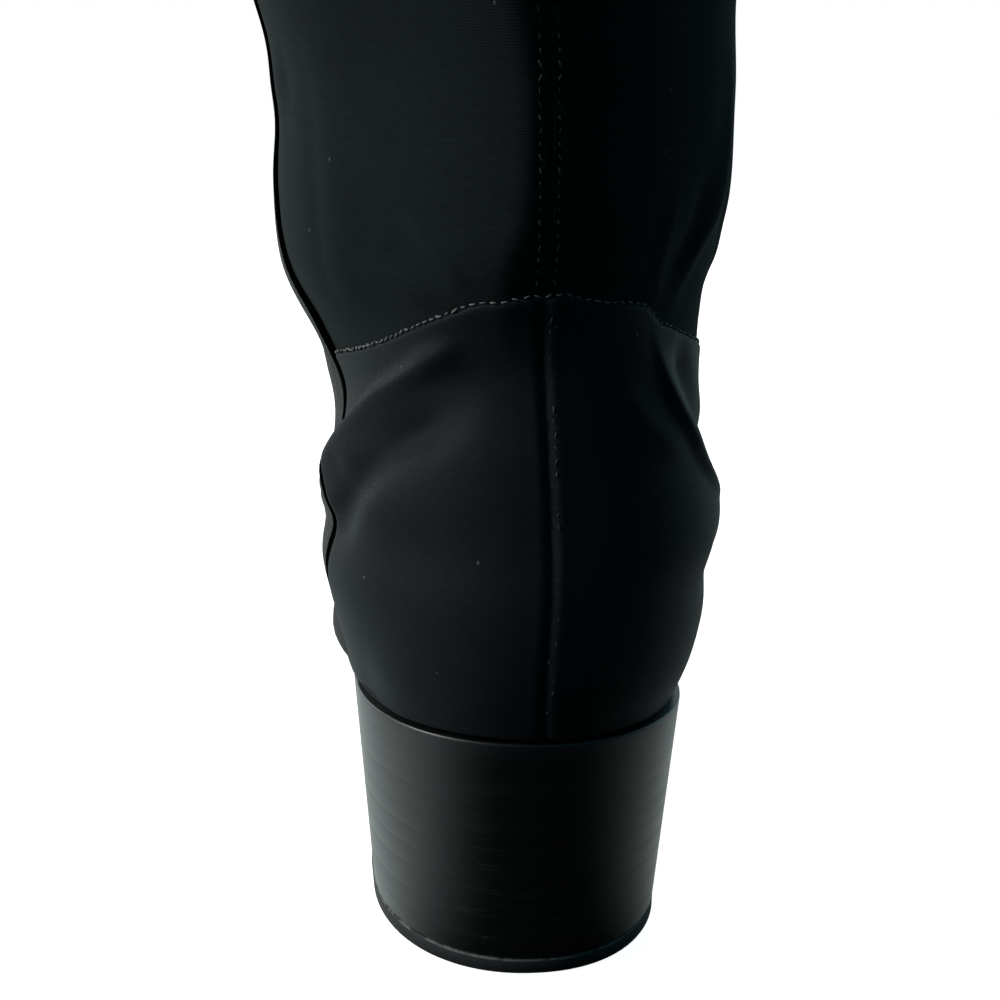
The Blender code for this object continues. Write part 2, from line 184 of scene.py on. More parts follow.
# ----------------------------------------------------------------------------------- the last
@dataclass(frozen=True)
class Last:
    """The last with its bottom profile and rings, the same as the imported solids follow."""

    heel_centre: float = 30.0
    toe_tip: float = 247.0
    seat_height: float = 44.3
    seat_slope: float = 0.07
    arch_start: float = 58.0
    tread_back: float = 146.0
    tread_front: float = 188.0
    toe_spring: float = 8.0
    clearance: float = 0.3
    sole_thickness_front: float = 3.5
    seat_skive: float = 1.2
    skive_end: float = 95.0
    fullness_stations: tuple[float, ...] = (0.0, 0.15, 0.4, 0.67, 1.0)
    feather_back: float = 3.0
    feather_front: float = 246.5
    feather_fullness: tuple[float, ...] = (57.0, 42.8, 26.5, 39.5, 37.0)
    feather_lean: float = -0.8
    # back station and height, front station and height, follow, five half widths, lean
    foot_rings: Table = (
        (1.0, 53.0, 248.5, 18.5, 0.95, 59.0, 46.8, 28.5, 42.0, 42.0, -1.2),
        (0.0, 61.0, 244.5, 25.5, 0.88, 59.0, 48.6, 31.0, 42.0, 43.0, -1.6),
        (0.3, 69.5, 234.0, 32.0, 0.78, 59.0, 49.0, 32.5, 40.0, 41.5, -1.6),
        (1.7, 78.0, 216.0, 38.5, 0.66, 59.0, 49.5, 34.0, 36.0, 38.0, -2.9),
        (3.6, 86.0, 192.0, 46.0, 0.50, 57.0, 49.3, 34.5, 31.0, 30.0, -2.1),
        (5.5, 93.5, 166.0, 56.0, 0.35, 52.0, 45.3, 35.3, 30.0, 27.0, -2.0),
        (7.0, 100.5, 146.0, 69.0, 0.20, 46.0, 40.8, 35.0, 31.0, 27.0, -3.1),
        (7.8, 107.5, 131.0, 86.0, 0.08, 40.0, 37.2, 35.0, 33.0, 30.0, -3.0),
        (7.8, 115.0, 121.0, 104.0, 0.0, 39.0, 37.8, 37.2, 36.4, 35.0, -1.1),
        (7.0, 124.0, 114.5, 120.0, 0.0, 41.0, 40.6, 40.2, 39.5, 38.0, 1.1),
    )
    # back station and height, front station and height, half width, lean
    shaft_rings: Table = (
        (5.3, 136.0, 110.5, 137.0, 42.4, 0.4),
        (3.0, 155.0, 106.5, 157.0, 41.8, 0.7),
        (0.0, 175.0, 104.0, 178.0, 44.0, 4.2),
        (-4.5, 202.0, 102.0, 206.0, 47.8, 3.2),
        (-10.5, 242.0, 101.5, 246.0, 51.0, 2.6),
        (-16.5, 290.0, 101.5, 294.0, 54.0, 2.0),
        (-19.5, 336.0, 101.0, 341.0, 55.5, 1.5),
        (-18.5, 386.0, 100.0, 394.0, 55.2, 1.0),
        (-15.0, 434.0, 99.5, 446.0, 54.6, 0.6),
        (-13.0, 480.0, 102.5, 497.0, 56.0, 0.3),
        (-15.0, 528.0, 107.0, 551.0, 58.8, 0.0),
        (-20.0, 606.0, 112.0, 640.0, 63.5, 0.0),
    )
    swing_line: Table = (
        (-30.0, 0.0), (98.0, 0.0), (114.0, -2.4), (130.0, -5.6), (150.0, -8.2),
        (170.0, -9.2), (205.0, -9.8), (250.0, -9.8),
    )
    waist_station: float = 84.0
    waist_spread: float = 36.0
    waist_shift: float = -2.8
    fine_levels: int = 2201     # levels at which heights at the back are read

    def sole_underside(self, station: Array) -> Array:
        """Height of the sole's underside: seat, arch, flat tread and toe spring."""
        seat = self.seat_height - self.seat_slope * station
        run = self.tread_back - self.arch_start
        climb = np.clip((self.tread_back - station) / run, 0.0, 1.0)
        edge = self.seat_height - self.seat_slope * self.arch_start
        arch = (edge * climb * climb * (3.0 - 2.0 * climb)
                + self.seat_slope * run * climb * climb * (climb - 1.0))
        ahead = np.maximum(station - self.tread_front, 0.0) / (self.toe_tip - self.tread_front)
        return np.where(station < self.arch_start, seat, arch + self.toe_spring * ahead**2)

    def sole_thickness(self, station: Array) -> Array:
        """Thickness of the sole: skived at the heel's back, full from the waist forward."""
        part = np.clip(station / self.skive_end, 0.0, 1.0)
        return self.seat_skive + (self.sole_thickness_front - self.seat_skive) * part * (2.0 - part)

    def feather_height(self, station: Array) -> Array:
        """Height of the upper's lower edge, just above the sole's upper face."""
        return self.sole_underside(station) + self.sole_thickness(station) + self.clearance

    def ring_table(self) -> Array:
        """All rings as rows of back, back height, front, front height, follow, lean, widths."""
        ends = self.feather_height(np.array([self.feather_back, self.feather_front]))
        rows = [(self.feather_back, ends[0], self.feather_front, ends[1], 1.0, self.feather_lean,
                 *self.feather_fullness)]
        rows += [(*ring[:5], ring[10], *ring[5:10]) for ring in self.foot_rings]
        rows += [(*ring[:4], 0.0, ring[5], *[ring[4]] * 5) for ring in self.shaft_rings]
        return np.array(rows)

    def surface(self, level: Array, turn: Array) -> Array:
        """Points of the upper's outer face.

        Along a ring, part goes from 0 at the back to 1 at the front by the cosine law of an
        ellipse, and the half width is the sine law times the ring's fullness there.

        Args:
            level: Rings above the feather edge.
            turn: Signed turn from the middle of the back, -0.5 to 0.5.

        Returns:
            x, y and z in millimetres, on one more axis.
        """
        table = self.ring_table()
        rings = np.arange(len(table))
        back, back_height, front, front_height, follow, lean, *fullness = (
            smooth_curve(rings, column, level) for column in table.T)
        angle = ROUND * np.abs(turn)
        part = 0.5 - 0.5 * np.cos(angle)
        station = back + (front - back) * part
        feather = self.feather_height(
            self.feather_back + (self.feather_front - self.feather_back) * part)
        chord = table[0, 1] + (table[0, 3] - table[0, 1]) * part
        height = back_height + (front_height - back_height) * part + follow * (feather - chord)
        shares = [smooth_curve(self.fullness_stations, share, part) for share in np.eye(5)]
        half_width = sum(w * share for w, share in zip(fullness, shares)) * np.sin(angle)
        centre = curve_of(self.swing_line, station) + lean
        waist = self.waist_shift * bell(station - self.waist_station, self.waist_spread)
        x = centre + follow * waist + np.sign(turn) * half_width
        return np.stack([x, self.heel_centre - station, height], axis=-1)

    def station_of(self, points: Array) -> Array:
        """Station of points in millimetres."""
        return self.heel_centre - points[..., 1]

    def level_at(self, back_height: Array) -> Array:
        """Level of the ring whose back point has this height."""
        fine = np.linspace(0.0, TOP, self.fine_levels)
        table = self.ring_table()
        heights = smooth_curve(np.arange(len(table)), table[:, 1], fine)
        return np.interp(back_height, heights, fine)


@dataclass(frozen=True)
class Crease:
    """A soft ridge or trough along a line on the boot's skin.

    Its path is (arc, height) points that run towards the outer side. Its rise is positive for a
    ridge. Above and below are its widths on the two sides of the path, and fade is the share of
    the path over which it fades in and out.
    """

    path: Table
    rise: float
    above: float
    below: float
    fade: float = 0.3

    path_steps = 6              # straight steps between two points of the path
    far = 2.6                   # widths away from the path at which the crease is left out

    def relief(self, arc: Array, height: Array) -> Array:
        """Rise at each place: the bell of the distance to the path, faded at the path's ends."""
        steps = self.path_steps * (len(self.path) - 1) + 1
        places = np.linspace(0.0, len(self.path) - 1.0, steps)
        knots = np.arange(len(self.path))
        line = np.stack([smooth_curve(knots, column, places) for column in zip(*self.path)], -1)
        found = np.zeros(arc.shape)
        reach = self.far * max(self.above, self.below)
        near = ((arc > line[:, 0].min() - reach) & (arc < line[:, 0].max() + reach)
                & (height > line[:, 1].min() - reach) & (height < line[:, 1].max() + reach))
        if not near.any():
            return found
        point = np.stack([arc[near], height[near]], axis=-1)[:, None, :]
        start, run = line[:-1], np.diff(line, axis=0)
        along = np.clip(((point - start) * run).sum(-1) / (run**2).sum(-1), 0.0, 1.0)
        gap = point - (start + along[..., None] * run)
        distance = np.linalg.norm(gap, axis=-1)
        best = distance.argmin(axis=1)
        pick = np.arange(len(best))
        side = run[best, 0] * gap[pick, best, 1] - run[best, 1] * gap[pick, best, 0]
        share = (best + along[pick, best]) / len(run)
        fading = ease(share / self.fade) * ease((1.0 - share) / self.fade)
        width = np.where(side > 0.0, self.above, self.below)
        found[near] = self.rise * fading * bell(distance[pick, best], width)
        return found


# station and height of both side seams above the ankle
SHAFT_SEAM: Table = (
    (58.0, 152.0), (56.0, 178.0), (50.0, 206.0), (45.5, 245.0), (42.5, 292.0), (41.0, 340.0),
    (41.0, 392.0), (42.5, 440.0), (45.0, 490.0), (46.0, 540.0), (46.0, 590.0), (46.0, 660.0),
)


@dataclass(frozen=True)
class Seams:
    """Lines that the pieces are cut and sewn along."""

    # station and height of the side seams, seen from the side: the worn outer one, and the inner
    outer: Table = (
        (43.0, 20.0), (43.1, 46.0), (42.9, 52.0), (42.5, 58.0), (41.8, 61.5), (40.5, 64.5),
        (39.1, 68.0), (38.3, 72.0), (37.8, 75.0), (37.7, 78.0), (38.6, 80.5), (40.3, 83.0),
        (41.9, 86.0), (43.6, 90.0), (45.2, 94.0), (46.4, 98.0), (47.0, 102.0), (47.4, 106.0),
        (47.7, 110.0), (48.3, 114.0), (49.8, 118.0), (52.2, 122.5), (54.8, 127.0),
        (56.6, 133.0), (57.6, 142.0), *SHAFT_SEAM,
    )
    inner: Table = (
        (45.0, 20.0), (45.0, 46.0), (45.0, 60.0), (45.5, 75.0), (47.0, 88.0), (50.0, 102.0),
        (53.0, 114.0), (55.5, 124.0), (57.2, 134.0), *SHAFT_SEAM,
    )
    # arc and height of the arched seam over the counter
    arch: Table = (
        (-90.0, 101.5), (-75.0, 103.5), (-62.0, 106.0), (-49.9, 109.1), (-34.7, 112.8),
        (-25.4, 115.6), (-22.3, 116.7), (-20.6, 118.2), (-19.3, 119.6), (-17.2, 120.2),
        (-12.2, 120.8), (-9.3, 121.0), (-6.0, 121.8), (-4.4, 122.4), (-0.5, 122.4), (3.6, 122.2),
        (7.3, 121.4), (10.6, 121.1), (14.3, 119.7), (21.9, 116.5), (32.4, 112.2), (40.8, 109.7),
        (50.1, 107.6), (61.2, 105.4), (75.0, 103.0), (90.0, 101.0),
    )
    # height and arc of the seam down the back
    back: Table = (
        (40.0, -0.3), (46.0, 0.2), (50.0, 0.75), (54.0, 1.15), (60.0, 1.45), (64.0, 1.35),
        (68.0, 1.1), (71.5, 1.25), (74.5, 1.8), (78.0, 2.15), (81.0, 2.05), (85.0, 1.6),
        (89.0, 1.4), (92.5, 1.55), (95.5, 1.9), (98.5, 2.55), (101.5, 3.05), (105.0, 3.3),
        (108.0, 3.25), (110.5, 2.95), (113.5, 2.3), (116.5, 1.65), (119.5, 0.85), (122.5, 0.15),
        (125.5, -0.1), (128.5, 0.1), (132.0, 0.5), (137.5, 0.9), (143.5, 1.25), (149.5, 1.45),
        (155.5, 1.5), (160.0, 1.0), (164.5, 0.4), (168.0, 0.1), (200.0, 0.0), (640.0, 0.0),
    )

    def station(self, side: Side, height: Array) -> Array:
        """Station of a side's seam at each height."""
        stations, heights = zip(*(self.outer if side is Side.OUTER else self.inner))
        return smooth_curve(heights, stations, height)


@dataclass(frozen=True)
class Folds:
    """The creases of the worn cloth and leather, and what the seams do to the skin near them."""

    seams: Seams = Seams()
    keel: float = 5.0           # how far the shaft stands out as a soft keel beside its back seam
    keel_round: float = 1.6
    keel_reach: float = 13.0
    keel_start: tuple[float, float] = (-14.0, 26.0)     # from the arched seam, and over how much
    knee: tuple[float, float] = (220.0, 160.0)          # where it grows lower, and over how much
    knee_loss: float = 0.6
    flank: float = 1.3          # how far the cloth falls in beside the keel
    flank_place: float = 28.0
    flank_reach: float = 15.0
    # height and arc of the keel's crest
    crest: Table = (
        (100.0, 8.0), (118.0, 7.0), (126.0, 5.8), (136.0, 4.6), (150.0, 4.2), (170.0, 4.6),
        (200.0, 4.4), (300.0, 3.0), (640.0, 1.5),
    )
    creases: tuple[Crease, ...] = (
        # outer side of the counter: a sharp pleat from the arched seam, and the trough under it
        Crease(((14.0, 114.5), (18.0, 112.5), (23.0, 110.0), (29.0, 106.3), (37.0, 101.4),
                (44.5, 96.2), (51.0, 91.0), (57.0, 86.0), (64.0, 81.5), (74.0, 78.0)),
               2.3, 1.9, 3.2, 0.24),
        Crease(((12.0, 103.0), (18.5, 101.0), (24.0, 98.6), (30.0, 95.4), (35.5, 91.8),
                (40.0, 88.3), (45.0, 83.8), (50.0, 79.0), (56.0, 75.0), (70.0, 70.0)),
               -3.4, 3.5, 4.6, 0.32),
        # the waisted sides of the counter, outer and inner
        Crease(((44.0, 86.5), (56.0, 84.0), (70.0, 81.0)), -0.9, 5.0, 4.0, 0.3),
        Crease(((26.0, 47.0), (40.0, 49.0), (54.0, 51.0), (68.0, 52.0), (86.0, 54.0)),
               -1.75, 9.5, 8.0, 0.3),
        Crease(((56.0, 79.0), (66.0, 77.5), (78.0, 76.0)), -1.2, 4.2, 5.0, 0.3),
        Crease(((62.0, 107.0), (74.0, 105.5), (88.0, 104.5)), -0.8, 5.0, 4.0, 0.3),
        # inner side: a thin pleat down from the arched seam, a hollow, a soft patch, a waist
        Crease(((-66.0, 77.5), (-50.0, 82.0), (-40.0, 86.4), (-31.5, 92.8), (-25.5, 98.5),
                (-21.8, 103.0), (-20.0, 107.5), (-19.8, 112.0), (-19.4, 117.5)),
               1.5, 3.0, 1.1, 0.42),
        Crease(((-76.0, 90.0), (-58.0, 90.5), (-46.0, 92.3), (-38.5, 96.6), (-33.0, 102.0),
                (-29.0, 108.0), (-26.5, 114.0)), -1.65, 3.8, 3.6, 0.2),
        Crease(((-34.0, 91.0), (-22.0, 95.5), (-15.0, 99.5), (-10.5, 104.5), (-8.0, 110.0)),
               0.8, 3.0, 2.2, 0.3),
        Crease(((-36.0, 72.0), (-48.0, 70.5), (-62.0, 69.0)), -0.8, 5.0, 5.0, 0.3),
        # outer side of the ball: the leather stands out over the sole
        Crease(((132.0, 20.0), (158.0, 17.5), (176.0, 17.5), (204.0, 20.0)), 3.3, 12.0, 5.5, 0.4),
        # cloth above the arched seam, outer side: small puckers and long soft folds
        Crease(((11.0, 123.0), (15.8, 127.1), (20.4, 131.0), (25.0, 137.0)), 0.35, 1.4, 1.6, 0.3),
        Crease(((14.0, 122.0), (22.0, 125.8), (30.0, 130.0)), -0.35, 1.5, 1.5, 0.3),
        Crease(((18.0, 120.5), (27.0, 122.8), (38.0, 125.5)), 0.3, 1.6, 2.0, 0.3),
        Crease(((44.5, 114.0), (46.3, 124.0), (47.3, 132.0), (48.8, 140.0), (51.0, 152.0),
                (53.0, 168.0)), -0.28, 2.5, 3.0, 0.3),
        Crease(((38.0, 114.0), (40.0, 125.0), (42.0, 136.0), (44.0, 152.0)), 0.25, 3.8, 4.2, 0.3),
        # cloth above the arched seam: the margins, outer and inner
        Crease(((60.0, 155.0), (74.0, 155.0), (90.0, 155.0)), 1.0, 7.0, 6.0, 0.3),
        Crease(((-44.0, 125.5), (-56.0, 125.5), (-72.0, 125.5)), 0.8, 4.5, 4.5, 0.3),
        # cloth above the arched seam, inner side
        Crease(((-23.0, 117.5), (-28.5, 120.6), (-33.8, 124.8), (-37.7, 129.7), (-41.4, 135.3),
                (-45.0, 150.0), (-46.0, 170.0)), 0.8, 2.4, 3.0, 0.25),
        Crease(((-25.0, 119.5), (-30.9, 126.7), (-33.5, 134.0), (-37.0, 148.0)), -0.7, 3.0, 3.0),
        Crease(((-20.0, 119.5), (-23.3, 123.9), (-24.0, 131.0), (-26.0, 142.0)), 0.45, 2.2, 2.6),
        Crease(((-56.0, 116.0), (-51.0, 124.0), (-50.0, 138.0), (-54.0, 155.0)), -0.6, 3.0, 3.4),
    )

    def seam_offset(self, arc: Array, height: Array) -> Array:
        """Distance round the ring from the seam down the back, positive to the outer side."""
        return arc - curve_of(self.seams.back, height)

    def arch_height(self, arc: Array) -> Array:
        """Height of the arched seam at each arc."""
        return curve_of(self.seams.arch, arc)

    def relief(self, arc: Array, height: Array) -> Array:
        """How far the skin moves outwards, in millimetres: all creases, and the keel that the
        stretched cloth makes at the back seam of the shaft, which dies out in the counter."""
        found = sum(crease.relief(arc, height) for crease in self.creases)
        offset = np.abs(self.seam_offset(arc, height))
        start, reach = self.keel_start
        above = ease((height - self.arch_height(arc) - start) / reach)
        start, reach = self.knee
        below_knee = 1.0 - self.knee_loss * ease((height - start) / reach)
        beside = np.hypot(arc - curve_of(self.crest, height), self.keel_round)
        keel = self.keel * np.exp(-beside / self.keel_reach)
        flank = self.flank * bell(offset - self.flank_place, self.flank_reach)
        return found + above * below_knee * (keel - flank)


class Skin:
    """The boot's skin: the last with its folds, ready to be read at many places at once."""

    level_cells, turn_cells = 440, 720      # grid on which arcs are measured
    probe_level, probe_turn = 0.02, 0.0005  # how far from a place its normal is probed
    seam_turns = (0.02, 0.46)               # between which a side seam crosses a ring
    arch_levels = (2.0, 12.0)               # between which the arched seam lies

    def __init__(self, last: Last, folds: Folds) -> None:
        """Measure arcs once on a fine grid of levels and turns."""
        self.last = last
        self.folds = folds
        levels = np.linspace(0.0, TOP, self.level_cells + 1)
        turns = np.linspace(-FRONT, FRONT, self.turn_cells + 1)
        fine = last.surface(*np.meshgrid(levels, turns, indexing="ij"))
        steps = np.linalg.norm(np.diff(fine, axis=1), axis=-1)
        lengths = np.concatenate([np.zeros((len(steps), 1)), np.cumsum(steps, axis=1)], axis=1)
        self.arcs = lengths - lengths[:, self.turn_cells // 2, None]

    def arc(self, level: Array, turn: Array) -> Array:
        """Arc at each place, read between the measured ones."""
        row = np.clip(level / TOP * self.level_cells, 0.0, self.level_cells - 0.001)
        column = np.clip((turn + FRONT) * self.turn_cells, 0.0, self.turn_cells - 0.001)
        low, left = row.astype(int), column.astype(int)
        up, right = row - low, column - left
        arcs = self.arcs
        return ((arcs[low, left] * (1 - right) + arcs[low, left + 1] * right) * (1 - up)
                + (arcs[low + 1, left] * (1 - right) + arcs[low + 1, left + 1] * right) * up)

    def normal(self, level: Array, turn: Array) -> Array:
        """Outward unit normal of the smooth last, from differences along level and turn."""
        low, high = (np.clip(level + step, 0.0, TOP)
                     for step in (-self.probe_level, self.probe_level))
        before, after = (np.clip(turn + step, -FRONT, FRONT)
                         for step in (-self.probe_turn, self.probe_turn))
        upwards = self.last.surface(high, turn) - self.last.surface(low, turn)
        onwards = self.last.surface(level, after) - self.last.surface(level, before)
        return unit(np.cross(upwards, onwards))

    def place(self, level: Array, turn: Array, lift: Array | float,
              more: Array | float = 0.0) -> tuple[Array, Array]:
        """Points on the skin.

        Args:
            level: Rings above the feather edge.
            turn: Signed turn from the middle of the back.
            lift: Distance outwards from the upper's outer face, in millimetres.
            more: Relief that only this piece has, in millimetres.

        Returns:
            Points in metres, and their arc and height in centimetres for the weave.
        """
        level, turn = np.broadcast_arrays(level, turn)
        base = self.last.surface(level, turn)
        arc = self.arc(level, turn)
        relief = self.folds.relief(arc, base[..., 2]) + lift + more
        points = (base + self.normal(level, turn) * relief[..., None]) * MM
        return points, np.stack([arc, base[..., 2]], axis=-1) * CM

    def turn_at_seam(self, level: Array, side: Side, shift: float = 0.0) -> Array:
        """Turn where a ring crosses a side seam, moved forward by a shift."""
        def ahead(turn: Array) -> Array:
            """Whether the skin at each turn lies in front of the seam."""
            point = self.last.surface(level, turn * side.value)
            seam = self.folds.seams.station(side, point[..., 2])
            return self.last.station_of(point) > shift + seam

        return halve(level.shape, self.seam_turns, ahead) * side.value

    def level_at_arch(self, turn: Array, drop: float) -> Array:
        """Level where each turn meets the arched seam, less a drop in millimetres."""
        def over(level: Array) -> Array:
            """Whether the skin at each level lies above the seam."""
            seam = self.folds.arch_height(self.arc(level, turn)) - drop
            return self.last.surface(level, turn)[..., 2] > seam

        return halve(turn.shape, self.arch_levels, over)


# ----------------------------------------------------------------------------------- meshes
def grid_quads(rows: int, columns: int) -> Array:
    """Quads of a grid of points, facing outwards where rows rise and columns go to +turn."""
    index = np.arange(rows * columns).reshape(rows, columns)
    corners = [index[:-1, :-1], index[1:, :-1], index[1:, 1:], index[:-1, 1:]]
    return np.stack(corners, axis=-1).reshape(-1, 4)


def ladder_quads(ring: Array) -> Array:
    """Quads that close a ring of point numbers by rungs between its two mirrored halves."""
    half = len(ring) // 2
    there, back = ring[:half], ring[::-1][:half]
    return np.stack([there[:-1], there[1:], back[1:], back[:-1]], axis=-1)


def make_piece(name: str, points: Array, quads: Array, uv: Array | None = None,
               sharp: float = SOFT) -> bpy.types.Object:
    """A mesh object at the origin from whole arrays.

    Args:
        name: Name of the piece.
        points: Points in metres, one row each after flattening.
        quads: Point numbers of each face.
        uv: Two numbers for each point, or none.
        sharp: Bend in radians over which an edge is shaded sharp.

    Returns:
        The object, linked to the scene, with doubled points merged and smooth shading.
    """
    points = np.ascontiguousarray(points.reshape(-1, 3), dtype=np.float32)
    mesh = bpy.data.meshes.new(name)
    mesh.vertices.add(len(points))
    mesh.vertices.foreach_set("co", points.ravel())
    mesh.loops.add(quads.size)
    mesh.loops.foreach_set("vertex_index", quads.ravel().astype(np.int32))
    mesh.polygons.add(len(quads))
    mesh.polygons.foreach_set("loop_start", np.arange(0, quads.size, 4, dtype=np.int32))
    mesh.update(calc_edges=True)
    if uv is not None:
        layer = mesh.uv_layers.new(name="weave")
        spread = uv.reshape(-1, 2)[quads.ravel()]
        layer.data.foreach_set("uv", spread.astype(np.float32).ravel())
    shape = bmesh.new()
    shape.from_mesh(mesh)
    bmesh.ops.remove_doubles(shape, verts=shape.verts, dist=MERGE)
    bmesh.ops.dissolve_degenerate(shape, edges=shape.edges, dist=MERGE)
    shape.to_mesh(mesh)
    shape.free()
    mesh.shade_smooth()
    mesh.set_sharp_from_angle(angle=sharp)
    piece = bpy.data.objects.new(name, mesh)
    bpy.context.scene.collection.objects.link(piece)
    return piece


def loft(name: str, rings: Array, uv: Array | None = None,
         sharp: float = SOFT) -> bpy.types.Object:
    """A closed piece from closed rings, an array of rings by points by 3 in metres.

    Each ring is closed on itself, and the first and last are closed by rungs between their
    mirrored halves.
    """
    rows, around = rings.shape[:2]
    wrapped = np.concatenate([rings, rings[:, :1]], axis=1)
    quads = grid_quads(rows, around + 1)
    first = np.arange(around)
    last = (rows - 1) * (around + 1) + np.arange(around)
    quads = np.concatenate([quads, ladder_quads(first), ladder_quads(last)[:, ::-1]])
    if uv is not None:
        uv = np.concatenate([uv, uv[:, :1]], axis=1)
    return make_piece(name, wrapped, quads, uv, sharp)


def edge_spaced(length: Array, count: int, edge: tuple[float, ...]) -> Array:
    """Shares from 0 to 1 along rows of the given lengths: close together near both ends, at the
    edge's distances in millimetres, and even between.

    Args:
        length: Length of each row in millimetres.
        count: Even steps in the middle.
        edge: Rising distances from an end, from 0.

    Returns:
        An array of rows by shares.
    """
    near = np.array(edge)[None, :] / length[:, None]
    middle = np.linspace(0.0, 1.0, count + 1)[None, :]
    last = near[:, -1:]
    inner = last + (1.0 - 2.0 * last) * middle
    return np.concatenate([near[:, :-1], inner, (1.0 - near[:, :-1])[:, ::-1]], axis=1)


def rounded(distance: Array, radius: float) -> Array:
    """Height of a rolled edge: a quarter circle, 0 at the edge and 1 past the radius."""
    part = np.clip(1.0 - distance / radius, 0.0, 1.0)
    return np.sqrt(1.0 - part * part)


# ----------------------------------------------------------------------------------- finishes
Socket = bpy.types.NodeSocket
Node = bpy.types.Node
Tree = bpy.types.NodeTree
Groups = dict[str, Tree]


class Nodes:
    """Short ways to place and join nodes in one node tree."""

    def __init__(self, tree: Tree) -> None:
        """Keep the tree that the nodes go into."""
        self.tree = tree

    def add(self, kind: str, **values: object) -> Node:
        """A node of a kind, with its own settings given by name."""
        node = self.tree.nodes.new(kind)
        for key, value in values.items():
            setattr(node, key, value)
        return node

    def feed(self, socket: Socket, value: object) -> None:
        """Give an input a value, or join it to an output."""
        if isinstance(value, Socket):
            self.tree.links.new(value, socket)
        else:
            socket.default_value = value

    def give(self, node: Node, **values: object) -> Node:
        """Feed a node's inputs by name, where an underscore stands for a space."""
        for label, value in values.items():
            self.feed(node.inputs[label.replace("_", " ")], value)
        return node

    def math(self, operation: str, *values: object) -> Socket:
        """One step of arithmetic."""
        node = self.add("ShaderNodeMath", operation=operation)
        for socket, value in zip(node.inputs, values):
            self.feed(socket, value)
        return node.outputs[0]

    def times(self, first: object, second: object, more: object = 0.0) -> Socket:
        """The product of two values, with more added to it."""
        return self.math("MULTIPLY_ADD", first, second, more)

    def mix(self, share: object, first: object, second: object) -> Socket:
        """A colour between two colours."""
        node = self.add("ShaderNodeMix", data_type="RGBA")
        for place, value in ((0, share), (6, first), (7, second)):
            self.feed(node.inputs[place], value)
        return node.outputs[2]

    def noise(self, vector: object, scale: object, detail: float = 3.0,
              rough: float = 0.55) -> Socket:
        """Smooth noise from 0 to 1."""
        node = self.give(self.add("ShaderNodeTexNoise"), Vector=vector, Scale=scale,
                         Detail=detail, Roughness=rough)
        return node.outputs["Fac"]

    def cells(self, vector: object, scale: object, feature: str = "F1") -> Node:
        """Voronoi cells."""
        return self.give(self.add("ShaderNodeTexVoronoi", feature=feature),
                         Vector=vector, Scale=scale)

    def stretch(self, vector: object, scale: Triple) -> Socket:
        """A vector scaled along its axes."""
        return self.give(self.add("ShaderNodeMapping"), Vector=vector, Scale=scale).outputs[0]

    def split(self, vector: Socket) -> list[Socket]:
        """The three parts of a vector."""
        return list(self.give(self.add("ShaderNodeSeparateXYZ"), Vector=vector).outputs)

    def ramp(self, value: object, low: float, high: float) -> Socket:
        """0 below low, 1 above high, eased between."""
        node = self.add("ShaderNodeMapRange", interpolation_type="SMOOTHSTEP")
        for socket, given in zip(node.inputs[:3], (value, low, high)):
            self.feed(socket, given)
        return node.outputs[0]

    def place(self) -> Socket:
        """The object's own coordinates."""
        return self.add("ShaderNodeTexCoord").outputs["Object"]

    def ray(self, kind: str) -> Socket:
        """1 for rays of a kind, 0 for others."""
        return self.add("ShaderNodeLightPath").outputs[kind]

    def group(self, tree: Tree, **values: object) -> Node:
        """A shared group, with its own values by input name."""
        return self.give(self.add("ShaderNodeGroup", node_tree=tree), **values)

    def bump(self, shader: Node, height: Socket, strength: float, distance: float) -> None:
        """Turn a height into a shader's normal. The distance is in metres."""
        bump = self.give(self.add("ShaderNodeBump"), Strength=strength, Distance=distance,
                         Height=height)
        self.give(shader, Normal=bump.outputs[0])


def new_group(name: str, inputs: dict[str, float | None],
              outputs: tuple[str, ...]) -> tuple[Nodes, dict[str, Socket], Node]:
    """An empty shader group whose outputs are numbers.

    Args:
        name: Name of the group.
        inputs: Default of each input by name. An input without one is a vector.
        outputs: Name of each output.

    Returns:
        The node maker, the inputs inside the group by name, and the group's output node.
    """
    tree = bpy.data.node_groups.new(name, "ShaderNodeTree")
    for label, default in inputs.items():
        kind = "NodeSocketVector" if default is None else "NodeSocketFloat"
        socket = tree.interface.new_socket(label, in_out="INPUT", socket_type=kind)
        if default is not None:
            socket.default_value = default
    for label in outputs:
        tree.interface.new_socket(label, in_out="OUTPUT", socket_type="NodeSocketFloat")
    maker = Nodes(tree)
    source, target = maker.add("NodeGroupInput"), maker.add("NodeGroupOutput")
    return maker, dict(source.outputs.items()), target


def build_weave_group() -> Tree:
    """Threads of a fine twill: two crossing sets of ribs, the warp stepped along the weft, broken
    by noise. Place is in centimetres and Pitch is the threads' distance."""
    n, given, out = new_group("twill_weave", {"Place": None, "Pitch": 0.05, "Break": 0.5},
                              ("Height", "Thread"))
    across, along = (n.math("DIVIDE", part, given["Pitch"])
                     for part in n.split(given["Place"])[:2])
    twill, cross = (n.math("SINE", n.times(phase, ROUND))
                    for phase in (n.times(along, 0.5, across), along))
    ribs = n.times(twill, 0.16, n.times(cross, 0.34, 0.5))
    broken = n.noise(n.stretch(given["Place"], (1.0, 2.6, 1.0)), 26.0, 2.0)
    thread = n.times(n.math("SUBTRACT", broken, 0.5), given["Break"], ribs)
    n.give(out, Height=thread, Thread=broken)
    return n.tree


